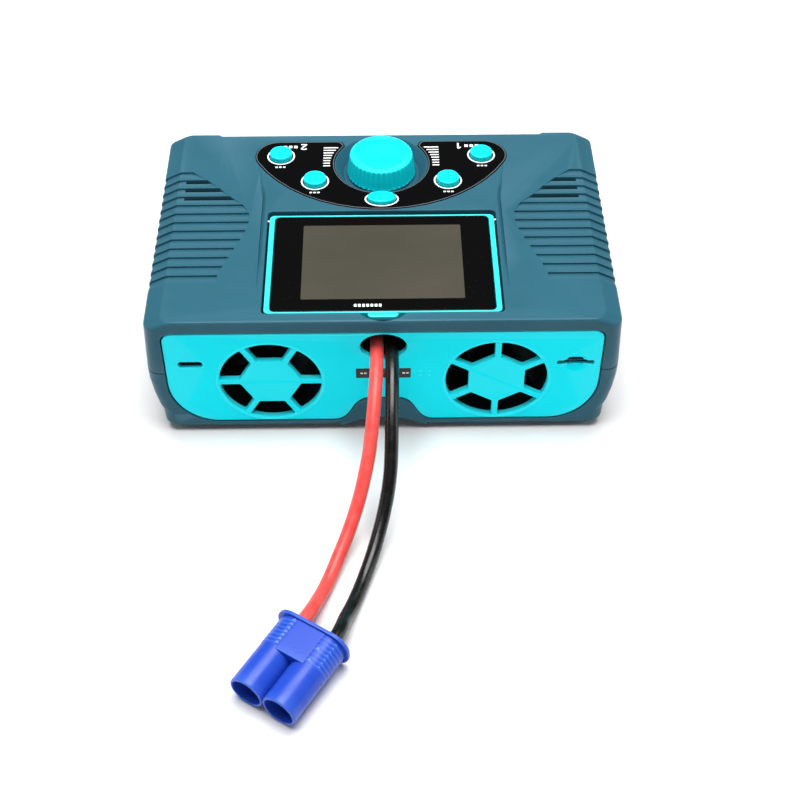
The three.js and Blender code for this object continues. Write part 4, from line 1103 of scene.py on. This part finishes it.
def make_front_prints():
    print_on_front("rating_bar", rounded_rect(-10.2, 10.0, 27.7, 32.6, 0.15, 2), BLACK_INK)
    marks = []
    face = -PANEL_LOW.y
    for x in (-8.6, -7.2, 6.9, 8.3):
        outline = rounded_rect(x, x + 1.0, 29.8, 30.5, 0.12, 2)
        marks.append(slab("dash", outline, face + 0.05, face + 0.1, 0, 0.02, on_front, 2))
    place(merged("rating_marks", marks), "case", WHITE_INK)
    dots = []
    for x in (13.5, 16.9):
        for z in (30.9, 28.9):
            outline = ellipse(x, z, 0.5, 0.42, 20)
            dots.append(slab("dot", outline, face - 0.02, face + 0.12, 0, 0.06, on_front, 2))
    place(merged("raised_dots", dots), "case", PANEL)


make_fan_panel()
make_front_prints()


# ---------------------------------------------------------------- fans behind the grilles
def fan_blade(x, angle):
    """A swept blade, set steeper at the hub than at its tip."""
    mid = (FAN_FRONT + FAN_BACK) / 2 - 1
    rings = []
    for step in range(7):
        share = step / 6
        radius = 8.2 + share * 9.6
        pitch = math.radians(52 - 18 * share)
        sweep = angle - 0.35 * share * share
        chord = 7.4 + 3.0 * share
        section = []
        outline = [(-0.5, 0), (-0.25, -0.5), (0.1, -0.6), (0.4, -0.35), (0.5, 0), (0.4, 0.25),
                   (0.1, 0.5), (-0.25, 0.4)]
        for along, thick in outline:
            camber = 0.9 * (1 - (2 * along) ** 2)
            along, across = along * chord, thick * 0.9 + camber
            around = along * math.cos(pitch) - across * math.sin(pitch)
            depth = along * math.sin(pitch) + across * math.cos(pitch)
            turn = sweep + around / radius
            section.append((x + radius * math.cos(turn), mid + depth, FAN_Z + radius * math.sin(turn)))
        rings.append(section)
    return loft("blade", rings)


def make_fans():
    for side, x in (("left", -FAN_X), ("right", FAN_X)):
        rotor_low, rotor_high = span(f"fan_rotor_{side}")
        hub_front, hub_back = -rotor_low.y, -rotor_high.y
        profile = [(8.2, hub_back), (8.6, hub_back + 0.4), (8.6, hub_front - 0.9),
                   (8.2, hub_front - 0.25), (7.4, hub_front), (6.9, hub_front),
                   (6.7, hub_front - 0.25), (0.6, hub_front - 0.25)]
        hub = turned(f"fan_blades_{side}", profile, x, FAN_Z, on_front, 48)
        blades = [fan_blade(x, i * 2 * math.pi / 7) for i in range(7)]
        combine(hub, blades, "UNION")
        place(hub, "fan_" + side, BLACK, [f"fan_rotor_{side}"])
        frame_low, frame_high = span(f"fan_frame_{side}")
        half = (frame_high.x - frame_low.x) / 2
        outline = rounded_rect(x - half, x + half, FAN_Z - half, FAN_Z + half, 2.5)
        housing = slab(f"fan_housing_{side}", outline, -FAN_BACK, -FAN_FRONT, 0.3, 0.3, on_front)
        duct = turned("tool", [(18.9, -FAN_BACK - 1), (18.9, -FAN_FRONT - 1.2), (19.3, -FAN_FRONT),
                               (19.4, -FAN_FRONT + 1)], x, FAN_Z, on_front)
        holes = [pocket(ellipse(x + 16 * dx, FAN_Z + 16 * dz, 2.1, 2.1, 24), -FAN_BACK - 1,
                        -FAN_FRONT, 0.3, 0, on_front) for dx in (-1, 1) for dz in (-1, 1)]
        waist_low, waist_high = -FAN_BACK + 3.4, -FAN_FRONT - 3.4
        waist = revolved_loop("tool", [(20.4, waist_low), (30, waist_low), (30, waist_high),
                                       (20.4, waist_high)], x, FAN_Z, on_front, 48)
        combine(housing, [duct, *holes, waist])
        bars = []
        for degrees in (37.5, 142.5, 217.5, 322.5):
            outline = turned_outline(rounded_rect(7, 19.1, -1, 1, 0.3, 2), x, FAN_Z, math.radians(degrees))
            bars.append(slab("bar", outline, -FAN_BACK + 0.05, -FAN_BACK + 2.15, 0.3, 0.3, on_front, 2))
        centre = turned("centre", [(8.6, -FAN_BACK + 0.1), (9, -FAN_BACK + 0.4), (9, -FAN_BACK + 2.3)],
                        x, FAN_Z, on_front, 40)
        combine(housing, [centre, *bars], "UNION")
        place(housing, "case", BLACK, [f"fan_frame_{side}"])


make_fans()


# ---------------------------------------------------------------- display
def make_display():
    top = DISPLAY_HIGH.z
    half = DISPLAY_HIGH.x
    near, far = GLASS_LOW.y - 0.9, DISPLAY_HIGH.y
    bezel = slab("display_bezel", rounded_rect(-half, half, near, far, 2.0, 8), DISPLAY_LOW.z, top, 0.3, 0.4)
    tab = slab("tab", rounded_rect(-5.6, 5.6, DISPLAY_LOW.y, near + 2, 1.8, 8), top - 2.3, top - 0.45,
               0.3, 0.5)
    combine(bezel, [tab], "UNION")
    margin = 0.2
    around = rounded_rect(GLASS_LOW.x - margin, GLASS_HIGH.x + margin, GLASS_LOW.y - margin,
                          GLASS_HIGH.y + margin, 2.1)
    seat = pocket(around, GLASS_LOW.z - 0.3, top, 0.18)
    module = slab("tool", rounded_rect(-36.5, 36.5, -47.5, -0.5, 0.5, 3), DISPLAY_LOW.z + 1.2, top)
    hinge = [turned_x(-half - 1, -half + 1.35), turned_x(half - 1.35, half + 1)]
    wedge = loft("tool", [[(x, far + 1, DISPLAY_LOW.z - 1), (x, far + 1, DISPLAY_LOW.z + 3.2),
                           (x, far - 3.4, DISPLAY_LOW.z - 1)] for x in (-50, 50)])
    combine(bezel, [seat, module, wedge, *hinge])
    place(bezel, "display", BEZEL, ["display_frame"])

    pane = slab("display_pane", rounded_rect(GLASS_LOW.x, GLASS_HIGH.x, GLASS_LOW.y, GLASS_HIGH.y, 2.0, 8),
                GLASS_LOW.z, GLASS_HIGH.z, 0.1, 0.18)
    place(pane, "display", GLASS, ["display_glass"])
    window = slab("lcd_window", rounded_rect(-29.8, 29.8, -44.2, -2.6, 0.5, 3), GLASS_HIGH.z - 0.02,
                  GLASS_HIGH.z + 0.03, 0, 0.01)
    place(window, "display", LCD)


def turned_x(start, end):
    """The clearance round a hinge pin."""
    low, high = span("hinge_pin_right")
    y, z = (low.y + high.y) / 2, (low.z + high.z) / 2
    radius = (high.y - low.y) / 2 + 0.25
    circle = ellipse(0, 0, radius, radius, 24)
    return loft("tool", [[(x, y + a, z + b) for a, b in circle] for x in (start, end)])


def make_display_marks():
    """A row of small marks along the near edge of the display's border."""
    z = GLASS_HIGH.z
    marks = []
    for index in range(7):
        x = -10.5 + index * 1.5
        outline = rounded_rect(x, x + 1.0, -48.4, -46.9, 0.15, 2)
        marks.append(slab("mark", outline, z - 0.02, z + 0.03, 0, 0.01))
    place(merged("display_marks", marks), "display", WHITE_INK)


make_display()
make_display_marks()


# ---------------------------------------------------------------- control film and its printing
def make_film():
    film = slab("control_film", film_outline(), FILM_TOP - 0.8, FILM_TOP, 0, 0.12)
    tools = []
    for name in BUTTON_NAMES:
        x, y, rx, ry, _ = button_shape(name, GAP)
        tools.append(pocket(ellipse(x, y, rx, ry), FILM_TOP - 2, FILM_TOP, 0.1, 0))
    combine(film, tools)
    place(film, "case", FILM, ["control_overlay"])


def film_print(name, outline, hole=None):
    """A printed shape on the film; hole is an outline left open in it."""
    piece = slab(name, outline, FILM_TOP - 0.02, FILM_TOP + 0.025, 0, 0.01, on_top, 1)
    if hole:
        combine(piece, [slab("tool", hole, FILM_TOP - 1, FILM_TOP + 1)])
    return piece


def bar(x0, x1, y0, y1):
    """A printed bar on the film."""
    return film_print("bar", [(x0, y0), (x1, y0), (x1, y1), (x0, y1)])


def stripes(sign):
    """Striped wedges on both sides of the knob, from the far edge towards the buttons."""
    rows = 8
    parts = []
    for row in range(rows):
        y = 46.3 - 1.7 * row
        inner = 1.6 + math.sqrt(FILM_BAY["radius"] ** 2 - (y - KNOB_Y) ** 2)
        edges = sorted((sign * inner, sign * 23.2))
        parts.append(bar(*edges, y - 0.35, y + 0.35))
    return parts


def dashes(x, y, count, pitch=1.5, length=1.0, height=0.8):
    """A row of short bars centred on x, y."""
    centres = [x - (count - 1) * pitch / 2 + i * pitch for i in range(count)]
    return [bar(centre - length / 2, centre + length / 2, y - height / 2, y + height / 2)
            for centre in centres]


def digit(number, x, y):
    """A channel number that reads upright from the user's side, behind the case."""
    if number == 1:
        strokes = [[(-0.35, -1.9), (0.35, -1.9), (0.35, 1.9), (-0.35, 1.9)],
                   [(-0.35, 1.9), (-1.15, 1.2), (-1.15, 0.6), (-0.35, 1.1)]]
    else:
        strokes = [[(-1.2, -1.9), (1.2, -1.9), (1.2, -1.25), (-1.2, -1.25)],
                   [(-1.2, -1.25), (-0.3, -1.25), (1.2, 0.5), (0.5, 0.9)],
                   [(0.5, 0.2), (1.2, 0.4), (1.2, 1.5), (0.7, 1.9), (0.5, 1.3)],
                   [(-1.2, 1.0), (-0.5, 1.0), (-0.5, 1.3), (0.6, 1.3), (0.7, 1.9), (-0.8, 1.9), (-1.2, 1.5)]]
    return [film_print("stroke", turned_outline(stroke, x, y, math.pi)) for stroke in strokes]


def make_film_print():
    parts = []
    for name in BUTTON_NAMES:
        x, y, rx, ry, _ = button_shape(name)
        parts.append(film_print("ring", ellipse(x, y, rx + 1.05, ry + 1.0, 72),
                                ellipse(x, y, rx + 0.42, ry + 0.42, 72)))
        if name != "tab":
            parts += dashes(x, y - ry - 2.6, 3)
    for number, sign in ((1, 1), (2, -1)):
        parts += stripes(sign) + dashes(sign * 36.6, 47.0, 3, 2.1, 1.4, 1.6)
        parts += digit(number, sign * 31.2, 47.0)
    place(merged("film_printing", parts), "case", WHITE_INK)
    # The pale ring inside the film's outline is a painted highlight along its cut edge.
    edge = film_print("film_edge_painted_highlight", film_outline(-0.14), film_outline(-0.42))
    place(edge, "case", FILM_EDGE_PAINTED_HIGHLIGHT)


make_film()
make_film_print()


# ---------------------------------------------------------------- knob and buttons
def make_knob():
    radius = (KNOB_HIGH.x - KNOB_LOW.x) / 2
    low, high = KNOB_LOW.z, KNOB_HIGH.z
    top_radius = radius - 0.95
    rim = high - 0.9

    def flutes(angle, reach, height):
        """Grooves down the side wall that run out at the top edge."""
        if reach < top_radius - 0.8 or height < low + 0.9:
            return 0
        share = min(1, (high - 0.1 - height) / 0.6)
        return -0.34 * share * (1 - math.cos(angle * 40)) / 2

    profile = [(radius - 2, low + 0.8), (radius - 2, low + 0.2), (radius - 1.8, low), (radius - 0.2, low),
               (radius - 0.02, low + 0.25), (radius - 0.02, low + 0.9), (radius - 0.05, low + 1.0)]
    wall = rim - low - 1.0
    profile += [(radius - 0.05 - 0.9 * t, low + 1.0 + wall * t) for t in (0.25, 0.5, 0.75, 0.9, 1)]
    profile += [(top_radius - 0.12, high - 0.5), (top_radius - 0.4, high - 0.2), (top_radius - 0.85, high)]
    profile += [(top_radius - 1.5, high), (top_radius - 1.9, high - 0.12), (top_radius - 2.3, high - 0.3)]
    face_radius = top_radius - 2.3
    profile += [(face_radius * share, high - 0.3 - 0.2 * share)
                for share in (0.9, 0.7, 0.5, 0.3, 0.15, 0.01)]
    cap = turned("knob_cap", profile, 0, KNOB_Y, steps=320, wave=flutes)
    bore = turned("tool", [(3.3, low - 1), (3.3, span("encoder_shaft")[1].z + 0.3)], 0, KNOB_Y, steps=40)
    combine(cap, [bore])
    place(cap, "knob", KNOB_PLASTIC, ["control_knob"], 40)


def make_buttons():
    for name in BUTTON_NAMES:
        x, y, rx, ry, top = button_shape(name)
        low = span("button_" + name)[0].z
        flange_top = TOP - WALL - 0.9
        edge = 0.7
        sections = [(1.5, 1.5, low), (1.5, 1.5, flange_top - 1.2)]
        sections += [(rx + grow, ry + grow, z) for grow, z in (
            (0.9, flange_top - 1.2), (0.9, flange_top), (0, flange_top), (0, top - 0.06 - edge))]
        for step in range(1, 7):
            angle = step / 6 * math.pi / 2
            inset = edge * (1 - math.cos(angle))
            sections.append((rx - inset, ry - inset, top - 0.06 - edge * (1 - math.sin(angle))))
        sections += [(share * (rx - edge), share * (ry - edge), top - 0.06 * share)
                     for share in (0.75, 0.5, 0.25, 0.02)]
        rings = [[(px, py, z) for px, py in ellipse(x, y, ru, rv)] for ru, rv, z in sections]
        cap = loft(f"cap_{name}", rings)
        place(cap, f"button_{name}", KNOB_PLASTIC, [f"button_{name}"], 40)


make_knob()
make_buttons()


# ---------------------------------------------------------------- the user's side
def socket_outline(low, high, grow, radius):
    return rounded_rect(-high.x - grow, -low.x + grow, low.z - grow, high.z + grow, max(0.3, radius + grow))


def make_output_panel():
    face = OUTPUT_HIGH.y
    panel = slab("output_plate", output_outline(), OUTPUT_LOW.y, face, 0.1, 0.4, on_back)
    tools = []
    for kind in ("output", "balance"):
        for number in (1, 2):
            low, high = span(f"{kind}_socket_{number}")
            tools.append(pocket(socket_outline(low, high, GAP, 1.2), face - 4, face, 0.25, 0, on_back))
    combine(panel, tools)
    place(panel, "case", PANEL, ["output_panel"])


def make_output_socket(number):
    low, high = span(f"output_socket_{number}")
    centre = (low + high) / 2
    shell = slab(f"port_output_{number}", socket_outline(low, high, 0, 1.2), low.y, high.y, 0.2, 0.3,
                 on_back)
    well = pocket(socket_outline(low, high, -1.3, 1.2), low.y + 3, high.y, 0.25, 0.2, on_back)
    combine(shell, [well])
    place(shell, "case", BLACK, [f"output_socket_{number}"])
    profile = [(1.75, low.y + 2.5), (1.75, high.y - 2.6), (1.5, high.y - 2.1), (0.9, high.y - 1.9),
               (0.05, high.y - 1.85)]
    pins = [turned("pin", profile, -centre.x + side * 4.1, centre.z, on_back, 32) for side in (-1, 1)]
    place(merged(f"port_output_{number}_pins", pins), "case", BRASS, [f"output_socket_{number}"])


def make_balance_socket(number):
    low, high = span(f"balance_socket_{number}")
    centre = (low + high) / 2
    shell = slab(f"port_balance_{number}", socket_outline(low, high, 0, 0.8), low.y, high.y, 0.2, 0.25,
                 on_back)
    well = pocket(socket_outline(low, high, -0.9, 0.8), low.y + 2, high.y, 0.2, 0.1, on_back)
    keys = []
    for side in (-8, 8):
        x = -centre.x + side
        outline = rounded_rect(x - 0.9, x + 0.9, high.z - 2, high.z - 0.4, 0.2, 2)
        keys.append(slab("tool", outline, high.y - 6, high.y + 1, 0, 0, on_back))
    combine(shell, [well, *keys])
    place(shell, "case", BLACK, [f"balance_socket_{number}"])
    pins = []
    for index in range(9):
        x = -centre.x + (index - 4) * 2.5
        outline = rounded_rect(x - 0.32, x + 0.32, low.z + 2.35, low.z + 2.99, 0.08, 2)
        pins.append(slab("pin", outline, low.y + 1, high.y - 2.5, 0, 0.2, on_back, 2))
    place(merged(f"port_balance_{number}_pins", pins), "case", BRASS, [f"balance_socket_{number}"])


def make_output_marks():
    """Plus and minus over the power sockets, a scale of cell numbers as ticks over the others."""
    face = OUTPUT_HIGH.y
    marks = []

    def mark(u0, u1, v0, v1):
        outline = rounded_rect(u0, u1, v0, v1, 0.1, 2)
        marks.append(slab("mark", outline, face - 0.02, face + 0.04, 0, 0.01, on_back, 1))

    for number in (1, 2):
        low, high = span(f"output_socket_{number}")
        x, z = -(low.x + high.x) / 2, high.z + 3.2
        mark(x - 5.2, x - 3.0, z - 0.25, z + 0.25)
        mark(x + 3.0, x + 5.2, z - 0.25, z + 0.25)
        mark(x + 3.85, x + 4.35, z + 0.3, z + 1.1)
        mark(x + 3.85, x + 4.35, z - 1.1, z - 0.3)
        low, high = span(f"balance_socket_{number}")
        x, z = -(low.x + high.x) / 2, high.z + 2.2
        for index in range(9):
            tick = x + (index - 4) * 2.5
            mark(tick - 0.2, tick + 0.2, z, z + (1.6 if index in (0, 8) else 0.9))
        mark(x - 10.2, x + 10.2, z + 2.6, z + 2.9)
    place(merged("output_marks", marks), "case", WHITE_INK)


make_output_panel()
for number in (1, 2):
    make_output_socket(number)
    make_balance_socket(number)
make_output_marks()


# ---------------------------------------------------------------- grommet, feet, screws, insides
def make_sleeve():
    low, high = span("cable_grommet")
    half_width, half_height = LEAD_HOLE["half_width"], LEAD_HOLE["half_height"]
    wall = 1.8
    hole = ellipse(0, LEAD_HOLE["z"], half_width, half_height, 72)
    outside = ellipse(0, LEAD_HOLE["z"], half_width + wall, half_height + wall, 72)
    sleeve = slab("sleeve", outside, -high.y, -low.y, 0.4, 0.5, on_front)
    well = pocket(hole, -high.y + 2, -low.y, 0.5, 0.6, on_front)
    under_tub = slab("tool", rounded_rect(-20, 20, high.z, high.z + 8, 0.5, 2), -high.y - 1, -low.y + 1,
                     0, 0, on_front)
    combine(sleeve, [well, under_tub])
    place(sleeve, "case", RUBBER, ["cable_grommet"])


def make_foot(number):
    low, high = span(f"rubber_foot_{number}")
    centre = (low + high) / 2
    radius = (high.x - low.x) / 2
    profile = [(radius - 0.9, low.z), (radius - 0.35, low.z + 0.12), (radius - 0.05, low.z + 0.4),
               (radius, low.z + 0.6), (radius, high.z)]
    foot = turned(f"foot_pad_{number}", profile, centre.x, centre.y)
    groove = [(3.2, low.z - 0.5), (3.8, low.z - 0.5), (3.7, low.z + 0.25), (3.3, low.z + 0.25)]
    ring = revolved_loop("tool", groove, centre.x, centre.y)
    combine(foot, [ring])
    place(foot, "case", RUBBER, [f"rubber_foot_{number}"])


def make_screw(number):
    low, high = span(f"case_screw_{number}")
    centre = (low + high) / 2
    head = (high.x - low.x) / 2
    profile = [(0.05, low.z + 0.3), (head * 0.55, low.z + 0.32), (head * 0.85, low.z + 0.5),
               (head, low.z + 0.9), (head, low.z + 1.4), (1.4, low.z + 1.4), (1.4, high.z - 1),
               (0.4, high.z)]
    screw = turned(f"screw_{number}", profile, centre.x, centre.y, steps=48)
    slot = rounded_rect(-1.5, 1.5, -0.28, 0.28, 0.1, 2)
    slots = [slab("tool", turned_outline(slot, centre.x, centre.y, angle), low.z - 1, low.z + 1.1)
             for angle in (0, math.pi / 2)]
    combine(screw, slots)
    place(screw, "case", STEEL, [f"case_screw_{number}"])


def keep(material, slot, *nodes):
    """CAD pieces whose shape stays, in a better material."""
    for node in nodes:
        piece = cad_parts[node]
        piece.data.materials.clear()
        piece.data.materials.append(material)


make_sleeve()
for number in range(1, 5):
    make_foot(number)
    make_screw(number)
keep(STEEL, "steel", "usb_socket", "card_socket", "hinge_pin_left", "hinge_pin_right",
     *("switch_" + name for name in BUTTON_NAMES))
keep(ALUMINIUM, "aluminium", "encoder_shaft", "heatsink_left", "heatsink_right")
keep(BRASS, "brass", "encoder_plunger")
keep(BLACK, "black_plastic", "encoder_body", "capacitor_1", "capacitor_2", "buzzer")
keep(BOARD, "circuit_board", "main_board", "switch_board")
keep(FERRITE, "ferrite", "inductor_1", "inductor_2")
keep(LCD, "lcd_grey", "lcd_module")
